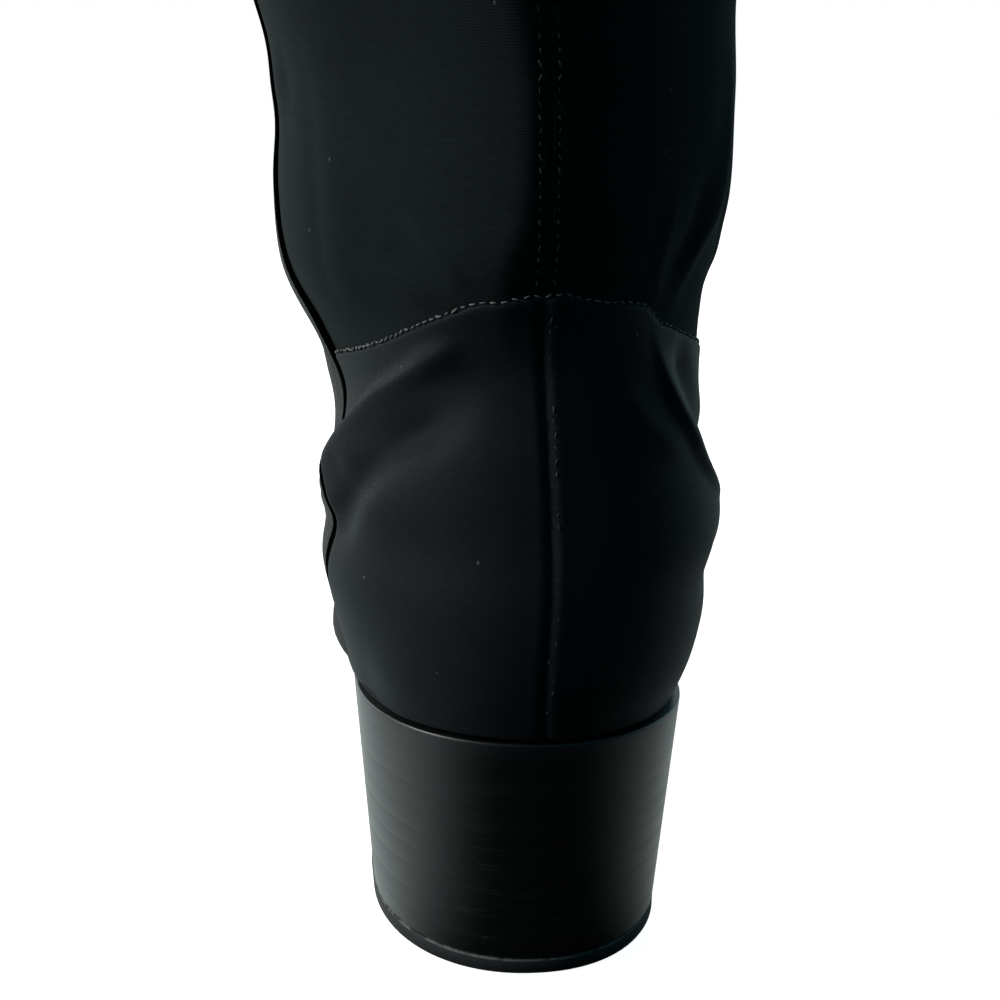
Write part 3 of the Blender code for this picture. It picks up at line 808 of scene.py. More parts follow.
def build_lint_group() -> Tree:
    """Stray specks: a small round core in a few of many cells. Size is a core's share of a cell
    and Share is how many cells have one."""
    n, given, out = new_group(
        "lint_specks", {"Place": None, "Cells": 300.0, "Size": 0.1, "Share": 0.2}, ("Mask",))
    cell = n.cells(n.stretch(given["Place"], (1.0, 1.0, 0.6)), given["Cells"])
    core = n.math("LESS_THAN", cell.outputs["Distance"], given["Size"])
    split = n.add("ShaderNodeSeparateColor")
    n.feed(split.inputs[0], cell.outputs["Color"])
    chosen = n.math("LESS_THAN", split.outputs[0], given["Share"])
    n.give(out, Mask=n.times(core, chosen))
    return n.tree


def build_grain_group() -> Tree:
    """Leather's grain: pebbles between fine valleys, with soft swells under them."""
    n, given, out = new_group(
        "hide_grain", {"Place": None, "Pebbles": 900.0, "Swell": 0.4}, ("Height", "Valley"))
    wander = n.give(n.add("ShaderNodeTexNoise"), Vector=given["Place"], Scale=240.0)
    bent = n.add("ShaderNodeVectorMath", operation="MULTIPLY_ADD")
    for socket, value in zip(bent.inputs, (wander.outputs["Color"], (0.0012,) * 3,
                                           given["Place"])):
        n.feed(socket, value)
    cell = n.cells(bent.outputs[0], given["Pebbles"], "DISTANCE_TO_EDGE")
    valley = n.math("SUBTRACT", 1.0, n.ramp(cell.outputs[0], 0.0, 0.22))
    swell = n.noise(given["Place"], 130.0)
    n.give(out, Height=n.times(swell, given["Swell"], n.times(valley, -0.6)), Valley=valley)
    return n.tree


def build_wear_group() -> Tree:
    """Wear and handling: wide soft patches and short level scratches. Place is the object's."""
    n, given, out = new_group("handling_wear", {"Place": None, "Patches": 18.0},
                              ("Patch", "Scratch"))
    patch = n.ramp(n.noise(given["Place"], given["Patches"], 4.0, 0.6), 0.35, 0.7)
    lines = n.noise(n.stretch(given["Place"], (0.12, 0.12, 1.0)), 1500.0, 3.0, 0.7)
    where = n.ramp(n.noise(given["Place"], 55.0, 2.0), 0.5, 0.66)
    n.give(out, Patch=patch, Scratch=n.times(n.ramp(lines, 0.58, 0.72), where))
    return n.tree


@dataclass(frozen=True)
class Finish:
    """What all finishes share: a name, a base colour, a base roughness and how much they mirror."""

    name: str
    colour: Triple
    roughness: float
    specular: float = 0.5

    def start(self) -> tuple[Nodes, Node, bpy.types.Material, Socket]:
        """A fresh material: its node maker, its shader and the object's own coordinates."""
        made = bpy.data.materials.new(self.name)
        made.use_nodes = True
        made.diffuse_color = (*self.colour, 1.0)
        maker = Nodes(made.node_tree)
        shader = made.node_tree.nodes["Principled BSDF"]
        maker.give(shader, Specular_IOR_Level=self.specular)
        return maker, shader, made, maker.place()

    def shade(self, factor: float) -> Colour:
        """The base colour made lighter or darker."""
        return (*(min(1.0, channel * factor) for channel in self.colour), 1.0)


@dataclass(frozen=True)
class ClothFinish(Finish):
    """Matte stretch cloth: twill threads, cloudy tone, lint."""

    specular: float = 0.04
    pitch: float = 0.045            # distance of the threads, in centimetres
    thread_depth: float = 0.00006
    sheen: float = 0.3
    sheen_tint: Colour = (0.05, 0.06, 0.06, 1.0)
    lint: Colour = (0.06, 0.066, 0.066, 1.0)

    def build(self, groups: Groups) -> bpy.types.Material:
        """The cloth's material."""
        n, shader, made, place = self.start()
        uv = n.add("ShaderNodeUVMap", uv_map="weave").outputs[0]
        weave = n.group(groups["weave"], Place=uv, Pitch=self.pitch, Break=0.7)
        wear = n.group(groups["wear"], Place=place, Patches=48.0)
        specks = n.group(groups["lint"], Place=place, Cells=330.0, Size=0.075, Share=0.12)
        thread = weave.outputs["Thread"]
        slub = n.ramp(n.noise(n.stretch(uv, (1.0, 2.2, 1.0)), 5.5, 4.0, 0.65), 0.36, 0.66)
        tone = n.mix(wear.outputs["Patch"], self.shade(0.7), self.shade(1.2))
        tone = n.mix(n.times(slub, 0.6), tone, self.shade(1.6))
        tone = n.mix(n.ramp(thread, 0.3, 0.75), tone, self.shade(1.3))
        tone = n.mix(specks.outputs["Mask"], tone, self.lint)
        n.give(shader, Base_Color=tone, Roughness=n.times(thread, 0.12, self.roughness - 0.06),
               Sheen_Weight=self.sheen, Sheen_Roughness=0.45, Sheen_Tint=self.sheen_tint)
        n.bump(shader, weave.outputs["Height"], 0.7, self.thread_depth)
        return made


@dataclass(frozen=True)
class HideFinish(Finish):
    """Black leather with a fine grain and a soft sheen, greyer where it is rubbed."""

    specular: float = 0.2
    grain_depth: float = 0.00010

    def build(self, groups: Groups) -> bpy.types.Material:
        """The leather's material."""
        n, shader, made, place = self.start()
        grain = n.group(groups["grain"], Place=place, Pebbles=950.0, Swell=0.5)
        wear = n.group(groups["wear"], Place=place, Patches=26.0)
        valley, patch = grain.outputs["Valley"], wear.outputs["Patch"]
        tone = n.mix(patch, self.shade(0.8), self.shade(1.3))
        tone = n.mix(n.times(valley, 0.7), tone, self.shade(0.5))
        rough = n.times(patch, 0.1, n.times(valley, 0.16, self.roughness))
        n.give(shader, Base_Color=tone, Roughness=rough)
        n.bump(shader, grain.outputs["Height"], 0.8, self.grain_depth)
        return made


@dataclass(frozen=True)
class LacquerFinish(Finish):
    """Polished black stack: level streaks of slightly different tone, fine level scratches."""

    scratch: Colour = (0.05, 0.055, 0.06, 1.0)
    depth: float = 0.00003

    def build(self, groups: Groups) -> bpy.types.Material:
        """The heel's material."""
        n, shader, made, place = self.start()
        scratch = n.group(groups["wear"], Place=place, Patches=60.0).outputs["Scratch"]
        streaks = n.noise(n.stretch(place, (0.3, 0.3, 2.2)), 120.0, 4.0)
        tone = n.mix(n.ramp(streaks, 0.35, 0.7), self.shade(0.7), self.shade(1.5))
        tone = n.mix(n.times(scratch, 0.12), tone, self.scratch)
        rough = n.times(streaks, 0.12, n.times(scratch, 0.1, self.roughness))
        n.give(shader, Base_Color=tone, Roughness=rough)
        n.bump(shader, n.times(scratch, -0.3, streaks), 0.5, self.depth)
        return made


@dataclass(frozen=True)
class PlainFinish(Finish):
    """Rubber, thread or lining: a fine grain over cloudy tone."""

    specular: float = 0.3
    grain: float = 1500.0
    depth: float = 0.00004

    def build(self, groups: Groups) -> bpy.types.Material:
        """The material."""
        n, shader, made, place = self.start()
        wear = n.group(groups["wear"], Place=place, Patches=70.0)
        fine = n.noise(place, self.grain, 2.0)
        tone = n.mix(wear.outputs["Patch"], self.shade(0.75), self.shade(1.3))
        tone = n.mix(n.ramp(fine, 0.45, 0.8), tone, self.shade(1.6))
        n.give(shader, Base_Color=tone, Roughness=n.times(fine, 0.14, self.roughness))
        n.bump(shader, fine, 0.5, self.depth)
        return made


@dataclass(frozen=True)
class TipFinish(PlainFinish):
    """Rubber whose upper edge is rubbed pale in short strokes."""

    edge: tuple[float, float] = (0.00248, 0.0026)   # heights between which the pale edge starts
    pale: Colour = (0.07, 0.075, 0.072, 1.0)

    def build(self, groups: Groups) -> bpy.types.Material:
        """The plain material with the pale edge laid over its colour."""
        made = super().build(groups)
        n, shader = Nodes(made.node_tree), made.node_tree.nodes["Principled BSDF"]
        place = n.place()
        strokes = n.ramp(n.noise(n.stretch(place, (1.0, 1.0, 0.1)), 420.0, 3.0, 0.7), 0.38, 0.56)
        rubbed = n.times(n.ramp(n.split(place)[2], *self.edge), strokes)
        plain = shader.inputs["Base Color"].links[0].from_socket
        n.give(shader, Base_Color=n.mix(rubbed, plain, self.pale))
        return made


FINISHES = {
    "cloth": ClothFinish("black_stretch_cloth", (0.0061, 0.0086, 0.0089), 0.85),
    "counter": ClothFinish("black_counter_cloth", (0.0038, 0.0054, 0.0066), 0.6, 0.055,
                           pitch=0.036, sheen=0.5),
    "hide": HideFinish("black_leather", (0.0075, 0.0078, 0.008), 0.6),
    "lacquer": LacquerFinish("black_heel_lacquer", (0.0006, 0.0009, 0.0012), 0.33),
    "rubber": PlainFinish("black_rubber", (0.006, 0.0062, 0.0062), 0.62),
    "tip_rubber": TipFinish("black_tip_rubber", (0.0105, 0.0125, 0.0125), 0.7),
    # painted shade: a near-black matte colour laid on the leather's edges along the side seams,
    # where the gap between leather and cloth lies in shadow
    "edge": PlainFinish("black_edge_shade", (0.0006, 0.0007, 0.0008), 0.9, 0.0),
    "lining": PlainFinish("lining", (0.035, 0.033, 0.031), 0.8, grain=2200.0),
    "thread": PlainFinish("black_thread", (0.016, 0.017, 0.017), 0.55, grain=3000.0),
    "grey_thread": PlainFinish("grey_thread", (0.085, 0.088, 0.085), 0.6, grain=3000.0),
}
Wardrobe = dict[str, bpy.types.Material]


def build_wardrobe() -> Wardrobe:
    """All materials of the boot by name, around the groups that they share."""
    groups = {"weave": build_weave_group(), "lint": build_lint_group(),
              "grain": build_grain_group(), "wear": build_wear_group()}
    return {name: finish.build(groups) for name, finish in FINISHES.items()}


def dress(piece: bpy.types.Object, material: bpy.types.Material, slot: Slot,
          *nodes: str) -> bpy.types.Object:
    """Give a piece its finish and its body, and hide the solids that it stands for."""
    piece.data.materials.clear()
    piece.data.materials.append(material)
    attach(piece, "root")
    if nodes:
        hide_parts(*nodes)
    LOG.info("%s: %d faces", piece.name, len(piece.data.polygons))
    return piece


# ----------------------------------------------------------------------------------- the boot
COUNTER_PITCH = 2.2         # distance of the stitches beside the counter's back seam
STITCH_RINGS = (-1.0, -0.9, -0.55, 0.0, 0.55, 0.9, 1.0)     # rings of a stitch, end to end
STITCH_SIDES = 6
STITCH_UNEVEN = 0.7         # how much a stitch that lies high is longer too


@dataclass(frozen=True)
class Stitch:
    """One stitch's own sizes, in millimetres."""

    length: float
    radius: float
    crown: float
    sink: float
    vary: float = 0.3           # how unlike one another the stitches are


def stitch_row(name: str, centres: Array, along: Array, out: Array, stitch: Stitch,
               girth: Array | float = 1.0) -> bpy.types.Object:
    """Many stitches as one piece: each a thread that arches out of the skin and dips back in.

    A stitch's middle line leaves the skin by crown times one minus the square of its place,
    less the sink, and its radius follows the square root of one minus the sixth power.

    Args:
        name: Name of the piece.
        centres: Middles in millimetres.
        along: Unit directions of the threads.
        out: Unit outward directions.
        stitch: Sizes of one stitch.
        girth: How thick each stitch is, beside the given radius.

    Returns:
        The piece.
    """
    chance = np.random.default_rng(len(centres))
    vary = chance.uniform(-1.0, 1.0, (4, len(centres), 1)) * stitch.vary
    across = np.cross(out, along)
    along = along + across * vary[0]
    centres = centres + across * vary[1] * stitch.radius
    place = np.array(STITCH_RINGS)
    turn = np.linspace(0.0, ROUND, STITCH_SIDES + 1)
    ring = stitch.radius * np.sqrt(1.0 - place**6) * (1.0 + vary[2])
    ring = ring * np.broadcast_to(girth, len(centres))[:, None]
    arch = stitch.crown * (1.0 - place**2) - stitch.sink * (1.0 - 2.0 * vary[3])
    reach = place * stitch.length / 2.0 * (1.0 + STITCH_UNEVEN * vary[3])
    line = centres[:, None] + along[:, None] * reach[..., None] + out[:, None] * arch[..., None]
    round_it = (across[:, None, None] * np.cos(turn)[None, None, :, None]
                + out[:, None, None] * np.sin(turn)[None, None, :, None])
    points = line[:, :, None] + round_it * ring[..., None, None]
    starts = np.arange(len(centres)) * len(place) * len(turn)
    quads = grid_quads(len(place), len(turn))[None] + starts[:, None, None]
    return make_piece(name, points * MM, quads.reshape(-1, 4), sharp=NEVER)


@dataclass
class Shaft:
    """The cloth body with its lining: one shell, open at the collar and underneath."""

    skin: Skin
    wall: float = 1.6
    hem: float = 0.8            # radius of the folded collar edge
    tuck: float = 0.35          # how far the cloth drops under the panels that cover it
    tuck_start: float = 1.0     # how far past a side seam it starts to drop, and past the arch
    tuck_start_low: float = 1.5
    tuck_reach: float = 2.0
    # offset, rise and width of the back seam's groove and of the two under the stitches
    grooves: Table = ((0.0, -0.55, 0.45), (-1.35, -0.3, 0.4), (1.35, -0.3, 0.4))
    columns_back: int = 216
    columns_front: int = 40
    back_turn: float = 0.27     # turn up to which the cloth shows
    # heights of the outer face's rows between its lower edge and the collar
    rows_up: tuple[Triple, ...] = ((47.0, 98.0, 4.5), (98.0, 178.0, 0.8), (178.0, 600.0, 3.8))
    hem_up: tuple[float, ...] = (603.0, 604.5, 605.4, 605.9)
    hem_down: tuple[float, ...] = (606.0, 605.8, 605.2, 604.0)
    rows_down: Triple = (598.0, 60.0, -9.0)
    inner_foot: float = 46.9

    def turns(self) -> Array:
        """Turns round the shaft, close together over the back half where the cloth shows."""
        back = np.linspace(-self.back_turn, self.back_turn, self.columns_back + 1)
        front = np.linspace(self.back_turn, FRONT, self.columns_front // 2 + 1)[1:]
        return np.concatenate([-front[::-1], back, front])

    def build(self, wardrobe: Wardrobe) -> None:
        """Build and dress the shaft: the outer face up, the inner face down, joined in a ring."""
        last, folds = self.skin.last, self.skin.folds
        heights = np.concatenate([stepped(*self.rows_up), self.hem_up])
        rows = np.concatenate([[0.0], last.level_at(heights), [TOP]])
        level, turn = np.meshgrid(rows, self.turns(), indexing="ij")
        base = last.surface(level, turn)
        arc = self.skin.arc(level, turn)
        under = self.covered(base, arc)
        grooves = ridges(folds.seam_offset(arc, base[..., 2]), self.grooves) * (1.0 - under)
        lift = (self.hemmed(base) - 1.0) * self.wall / 2.0 - self.tuck * under
        outer, outer_uv = self.skin.place(level, turn, lift, grooves)
        heights = np.concatenate([self.hem_down, stepped(self.rows_down), [self.inner_foot]])
        level, turn = np.meshgrid(last.level_at(heights), self.turns(), indexing="ij")
        lift = -self.wall - (self.hemmed(last.surface(level, turn)) - 1.0) * self.wall / 2.0
        inner, inner_uv = self.skin.place(level, turn, lift)
        points = np.concatenate([outer, inner, outer[:1]])
        uv = np.concatenate([outer_uv, inner_uv, outer_uv[:1]])
        piece = make_piece("cloth_shaft", points, grid_quads(*points.shape[:2]), uv)
        dress(piece, wardrobe["cloth"], Slot.CLOTH, "upper")
        piece.data.materials.append(wardrobe["lining"])
        lining_faces(piece, last)

    def hemmed(self, base: Array) -> Array:
        """Height of the folded hem at each place: 0 at the collar's edge, 1 below the fold."""
        return rounded(collar_distance(self.skin.last, base), self.hem)

    def covered(self, base: Array, arc: Array) -> Array:
        """1 where a panel lies over the cloth, 0 where the cloth shows, soft between."""
        folds, height = self.skin.folds, base[..., 2]
        outer, inner = (folds.seams.station(side, height) for side in Side)
        seam = np.where(base[..., 0] > 0.0, outer, inner)
        ahead = ease((self.skin.last.station_of(base) - seam - self.tuck_start) / self.tuck_reach)
        low = ease((folds.arch_height(arc) - height - self.tuck_start_low) / self.tuck_reach)
        return np.maximum(ahead, low)


def collar_distance(last: Last, base: Array) -> Array:
    """Distance below the collar's slanted line, which rises from back to front."""
    back, back_height, front, front_height = last.shaft_rings[-1][:4]
    slope = (front_height - back_height) / (front - back)
    collar = back_height + slope * (last.station_of(base) - back)
    return np.maximum(collar - base[..., 2], 0.0)


def lining_faces(piece: bpy.types.Object, last: Last) -> None:
    """Give the faces of the shaft that look inwards the second material: those whose normal
    points towards the shaft's axis."""
    mesh = piece.data
    count = len(mesh.polygons)
    normals, centres = np.empty(count * 3, np.float32), np.empty(count * 3, np.float32)
    mesh.polygons.foreach_get("normal", normals)
    mesh.polygons.foreach_get("center", centres)
    normals, centres = normals.reshape(-1, 3), centres.reshape(-1, 3)
    rings = np.array([(ring[1], (ring[0] + ring[2]) / 2.0) for ring in last.shaft_rings])
    station = np.interp(centres[:, 2] / MM, rings[:, 0], rings[:, 1])
    axis = (last.heel_centre - station) * MM
    inwards = (normals[:, 0] * centres[:, 0] + normals[:, 1] * (centres[:, 1] - axis)) < 0.0
    mesh.polygons.foreach_set("material_index", inwards.astype(np.int32))


def shade_edge_faces(piece: bpy.types.Object, width: float) -> None:
    """Give the faces nearer to the piece's edge than a width in millimetres its second material, a
    near-black painted shade along the edge. The piece's uv tells that distance in centimetres."""
    mesh = piece.data
    starts = np.empty(len(mesh.polygons), np.int32)
    mesh.polygons.foreach_get("loop_start", starts)
    uv = np.empty(len(mesh.loops) * 2, np.float32)
    mesh.uv_layers["weave"].data.foreach_get("uv", uv)
    near = np.maximum.reduceat(uv[::2], starts) < width * CM
    mesh.polygons.foreach_set("material_index", near.astype(np.int32))


@dataclass
class Panels:
    """The leather front and the counter, each a shell laid over the cloth."""

    skin: Skin
    clearance: float = 0.3
    least: float = 0.02         # share of its thickness that a panel keeps at its very edge
    leather: float = 1.2
    leather_round: float = 0.7  # radius of its rolled edge
    skive: float = 0.5          # share of the leather's thickness that is left at the side seams
    skive_reach: float = 9.0
    foot: tuple[float, float] = (8.0, 0.05)     # rough rise of a level, from the feather edge up
    # levels and heights of the leather's rows from the feather edge to the collar
    foot_levels: tuple[float, ...] = (0.0, 0.004, 0.015, 0.04, 0.07)
    rows_up: tuple[Triple, ...] = ((46.9, 172.0, 1.1), (172.0, 604.0, 4.2))
    collar_rows: tuple[float, ...] = (604.6, 605.3, 605.8, 606.0)
    front_columns: int = 132
    front_girth: float = 330.0  # rough length of a ring
    edge_shade_reach: float = 1.02    # how far the painted shade reaches in, times the table's width
    # height, and how far in the leather's edges are painted black there: painted shade of the
    # seam's gap
    edge_shade_width: Table = (
        (40.0, 1.0), (58.0, 1.0), (64.0, 1.3), (70.0, 1.8), (77.0, 1.8), (83.0, 1.6),
        (93.0, 1.7), (101.0, 2.0), (106.0, 2.2), (113.0, 2.7), (118.0, 2.4), (124.0, 1.6),
        (134.0, 1.0), (140.0, 1.0), (660.0, 1.0),
    )
    counter_cloth: float = 0.7
    counter_round: float = 0.9
    counter_size: tuple[float, float] = (140.0, 75.0)   # rough length and height
    counter_cells: tuple[int, int] = (190, 100)
    counter_turns: float = 0.4                          # rough turns that it spans
    counter_fits: int = 12                              # rounds in which its grid is fitted
    seam_gap: float = 0.6
    arch_drop: float = 0.25
    # offset, rise and width of what lies across its back seam: the turned edge, which the
    # stitches pucker, then the groove and a slight ridge on the other side; and of the puckers
    turned_edge: Table = ((-1.9, 0.2, 1.1),)
    back_relief: Table = ((0.0, -0.62, 0.72), (1.8, 0.1, 0.9))
    puckers: Table = ((-1.4, 0.45, 1.0),)

    def shell(self, name: str, level: Array, turn: Array, thick: Array,
              more: Array | float = 0.0, place: Array | None = None) -> bpy.types.Object:
        """A closed shell between a lower face that clears the cloth and an upper face over it.

        Args:
            name: Name of the piece.
            level: Rings above the feather edge.
            turn: Signed turn from the middle of the back.
            thick: Thickness, in millimetres.
            more: Relief that only this piece has, in millimetres.
            place: What the piece's uv tells across instead of the arc, in millimetres.

        Returns:
            The piece.
        """
        upper, upper_uv = self.skin.place(level, turn, self.clearance + thick, more)
        lower, lower_uv = self.skin.place(level, turn, self.clearance, more)
        if place is not None:
            upper_uv[..., 0] = lower_uv[..., 0] = place * CM
        rings = np.concatenate([upper, lower[:, ::-1]], axis=1)
        uv = np.concatenate([upper_uv, lower_uv[:, ::-1]], axis=1)
        return loft(name, rings, uv)

    def leather_front(self, wardrobe: Wardrobe) -> None:
        """The leather panel from side seam to side seam round the front."""
        last = self.skin.last
        heights = np.concatenate([stepped(*self.rows_up), self.collar_rows])
        rows = np.unique(np.concatenate([self.foot_levels, last.level_at(heights)]))
        outer = self.skin.turn_at_seam(rows, Side.OUTER)
        inner = self.skin.turn_at_seam(rows, Side.INNER) + 2.0 * FRONT
        length = (inner - outer) * self.front_girth
        edge_shade_width = curve_of(self.edge_shade_width, last.surface(rows, outer)[:, 2])
        share = edge_spaced(length / edge_shade_width, self.front_columns, EDGE_STEPS)
        turn = outer[:, None] + (inner - outer)[:, None] * share
        level = np.broadcast_to(rows[:, None], turn.shape)
        signed = np.where(turn > FRONT, turn - 2.0 * FRONT, turn)
        from_seam = np.minimum(share, 1.0 - share) * length[:, None]
        from_foot = level * self.foot[0] + self.foot[1]
        from_collar = collar_distance(last, last.surface(level, signed))
        distance = np.minimum(np.minimum(from_seam, from_foot), from_collar)
        skived = self.skive + (1.0 - self.skive) * ease(from_seam / self.skive_reach)
        thick = self.leather * skived * self.rolled(distance, self.leather_round)
        piece = self.shell("leather_front", level, signed, thick,
                           place=from_seam / edge_shade_width[:, None])
        dress(piece, wardrobe["hide"], Slot.LEATHER, "leather_front")
        # the leather's edges at the side seams take painted shade: a near-black material where the
        # seam's gap lies in shadow
        piece.data.materials.append(wardrobe["edge"])
        shade_edge_faces(piece, self.edge_shade_reach)

    def rolled(self, distance: Array, radius: float) -> Array:
        """Share of a panel's thickness at each distance from its rolled edge."""
        return np.maximum(rounded(distance, radius), self.least)

    def back_seam(self, offset: Array, height: Array) -> Array:
        """Relief of the counter's seam: a groove, and beside it the turned edge as a ridge that
        the stitches pucker."""
        pucker = 1.0 + np.sin(ROUND * height / COUNTER_PITCH) * ridges(offset, self.puckers)
        return pucker * ridges(offset, self.turned_edge) + ridges(offset, self.back_relief)

    def counter(self, wardrobe: Wardrobe) -> None:
        """The counter round the heel, up to the arched seam, with its seam down the back. Its
        grid is fitted between the seams by going back and forth between turn and level."""
        (length, tall), cells = self.counter_size, self.counter_cells
        share, rise = (edge_spaced(np.array([size]), count, EDGE_STEPS)[0]
                       for size, count in zip(self.counter_size, cells))
        across, up = np.meshgrid(share, rise, indexing="xy")
        turn = (across - 0.5) * self.counter_turns
        for _ in range(self.counter_fits):
            level = self.skin.level_at_arch(turn, self.arch_drop) * up
            outer, inner = (self.skin.turn_at_seam(level, side, -self.seam_gap) for side in Side)
            turn = inner + (outer - inner) * across
        distance = np.minimum(np.minimum(across, 1.0 - across) * length,
                              np.minimum(up, 1.0 - up) * tall)
        thick = self.counter_cloth * self.rolled(distance, self.counter_round)
        height = self.skin.last.surface(level, turn)[..., 2]
        offset = self.skin.folds.seam_offset(self.skin.arc(level, turn), height)
        piece = self.shell("counter", level, turn, thick, self.back_seam(offset, height))
        dress(piece, wardrobe["counter"], Slot.CLOTH, "counter")


def heel_outline(back: float, half_width: float, reach: float, breast: float) -> Array:
    """Outline of the heel seen from above: a round back by a rounded ellipse law, straight sides
    and a hollow breast. It starts at the middle of the back and goes over the outer side.

    Args:
        back: Station of the back.
        half_width: Half width at the widest place.
        reach: Depth from the back to the widest place.
        breast: Station of the straight front.

    Returns:
        x and station of each point, an even number of them.
    """
    power, radius, hollow, side_points = 0.94, 0.8, 1.5, 8
    turn = np.linspace(0.0, np.pi / 2.0, 96)
    round_x = half_width * np.sin(turn) ** power
    round_station = back + reach * (1.0 - np.cos(turn) ** power)
    side = np.linspace(0.0, 1.0, side_points + 2)[1:-1]
    side_station = back + reach + (breast - back - reach - radius) * side
    corner = np.linspace(0.0, np.pi / 2.0, 6)
    corner_x = half_width - radius + radius * np.cos(corner)
    corner_station = breast - radius + radius * np.sin(corner)
    across = np.linspace(half_width - radius, 0.0, 18)[1:]
    front_station = breast - hollow * (1.0 - (across / (half_width - radius)) ** 2)
    x = np.concatenate([round_x, np.full(side_points, half_width), corner_x, across])
    station = np.concatenate([round_station, side_station, corner_station, front_station])
    mirror = slice(-2, 0, -1)
    return np.stack([np.concatenate([x, -x[mirror]]),
                     np.concatenate([station, station[mirror]])], axis=-1)


@dataclass
class HeelAndSole:
    """Outsole, insole, stacked heel and its tip."""

    skin: Skin
    edge_points: int = 120      # points of each half of the sole's edge
    sole_edge: float = 2.4
    seat_edge: float = -0.5     # tucked back under the cloth, so that it is a dark line
    seat_line: float = 0.42     # what shows of the sole between the cloth and the heel's rim
    seat_rim: tuple[float, float] = (33.0, 18.0)    # where the rim dies out, and over how much
    outer_trim: float = 2.2     # how far the sole is trimmed back behind the ball, outer side
    trim_place: tuple[float, float] = (151.0, 17.0)
    # how far in from the sole's edge each ring lies, and its share of the thickness
    sole_rings: Table = (
        (-6.0, 1.0), (-0.5, 1.0), (-0.12, 0.97), (0.0, 0.86), (0.0, 0.35), (-0.2, 0.16),
        (-0.55, 0.04), (-0.9, 0.0), (-6.0, 0.0),
    )
    insole_margin: float = 2.1
    insole_lift: float = 0.2
    insole_thickness: float = 2.2
    insole_rings: Table = (
        (-8.0, 1.0), (-1.6, 1.0), (-0.6, 0.93), (-0.15, 0.75), (0.0, 0.5), (0.0, 0.0),
        (-8.0, 0.0),
    )
    # back, half width, reach and breast of the heel's outline
    heel_top: tuple[float, ...] = (2.0, 31.2, 36.4, 51.0)
    heel_foot: tuple[float, ...] = (2.7, 27.6, 34.7, 48.0)
    heel_low: float = 3.15
    heel_high: float = 40.2
    heel_gap: float = 0.15      # between the heel and the sole
    heel_middle: float = 27.0
    # height and depth of the heel's rounded edges: the lower one from its foot, and the upper one
    foot_round: Table = ((0.0, -0.25), (0.12, -0.08), (0.35, 0.0))
    rim_round: Table = ((39.6, 0.0), (39.95, -0.06), (40.1, -0.16), (40.2, -0.4))
    # height and depth of the fine groove between two layers of the stack, and the groove's form
    layers: Table = (
        (6.9, 0.012), (10.6, 0.02), (15.1, 0.028), (18.7, 0.024), (22.3, 0.03), (26.0, 0.014),
        (30.1, 0.02), (33.3, 0.012), (37.0, 0.01),
    )
    groove: Table = (
        (-0.45, 0.0), (-0.13, 0.0), (-0.05, 0.6), (0.0, 1.0), (0.05, 0.6), (0.13, 0.0),
    )
    # height and inset of the tip's rings
    tip_rings: Table = (
        (0.0, 0.5), (0.1, 0.18), (0.4, 0.0), (2.45, 0.0), (2.7, 0.1), (2.85, 0.35),
    )

    def edge_ring(self, growth: tuple[float, float], trim: float = 0.0) -> Array:
        """Feather edge all round, moved outwards: x and station, from the heel's back over the
        outer side. The growth is given at the heel and from the tread forward, and is the same on
        both sides, less the trim on the outer side behind the ball."""
        half = np.linspace(0.0, FRONT, self.edge_points)
        turn = np.concatenate([half, half[1:-1] - FRONT])
        edge = self.skin.last.surface(np.zeros_like(turn), turn)
        station = self.skin.last.station_of(edge)
        line = np.stack([edge[:, 0], station], axis=-1)
        along = unit(np.roll(line, -1, axis=0) - np.roll(line, 1, axis=0))
        outwards = np.stack([along[:, 1], -along[:, 0]], axis=-1)
        place, reach = self.trim_place
        trimmed = trim * bell(station - place, reach) * (line[:, 0] > 0.0)
        last, (heel, tread) = self.skin.last, growth
        share = smooth_curve((0.0, last.arch_start, last.tread_back), (0.0, 0.0, 1.0), station)
        return line + outwards * (heel + (tread - heel) * share - trimmed)[:, None]

    def seat_gap(self, station: Array) -> Array:
        """How much of the sole's thickness the heel's rim hides, less and less to its breast."""
        start, reach = self.seat_rim
        behind = 1.0 - ease((station - start) / reach)
        return (self.skin.last.sole_thickness(station) - self.seat_line) * behind

    def solid(self, line: Array, height: Array) -> Array:
        """World points in metres from x and station pairs and heights."""
        station = self.skin.last.heel_centre - line[..., 1]
        return np.stack([line[..., 0], station, height], axis=-1) * MM

    def outsole(self, wardrobe: Wardrobe) -> None:
        """The outsole: a rolled edge between its two faces, made of rings from the top down."""
        last, rings = self.skin.last, []
        for inset, part in self.sole_rings:
            line = self.edge_ring((self.seat_edge + inset, self.sole_edge + inset),
                                  self.outer_trim)
            seat = self.seat_gap(line[:, 1])
            thick = last.sole_thickness(line[:, 1]) - seat
            rings.append(self.solid(line, last.sole_underside(line[:, 1]) + seat + thick * part))
        piece = loft("outsole", np.array(rings)[::-1])
        dress(piece, wardrobe["rubber"], Slot.RUBBER, "outsole")

    def insole(self, wardrobe: Wardrobe) -> None:
        """The insole: a thin padded board between the walls, its upper edge softly rounded."""
        rings = []
        for inset, part in self.insole_rings:
            line = self.edge_ring((inset - self.insole_margin,) * 2)
            height = self.skin.last.feather_height(line[:, 1]) + self.insole_lift
            rings.append(self.solid(line, height + self.insole_thickness * part))
        piece = loft("insole", np.array(rings)[::-1])
        dress(piece, wardrobe["lining"], Slot.LINING, "insole")

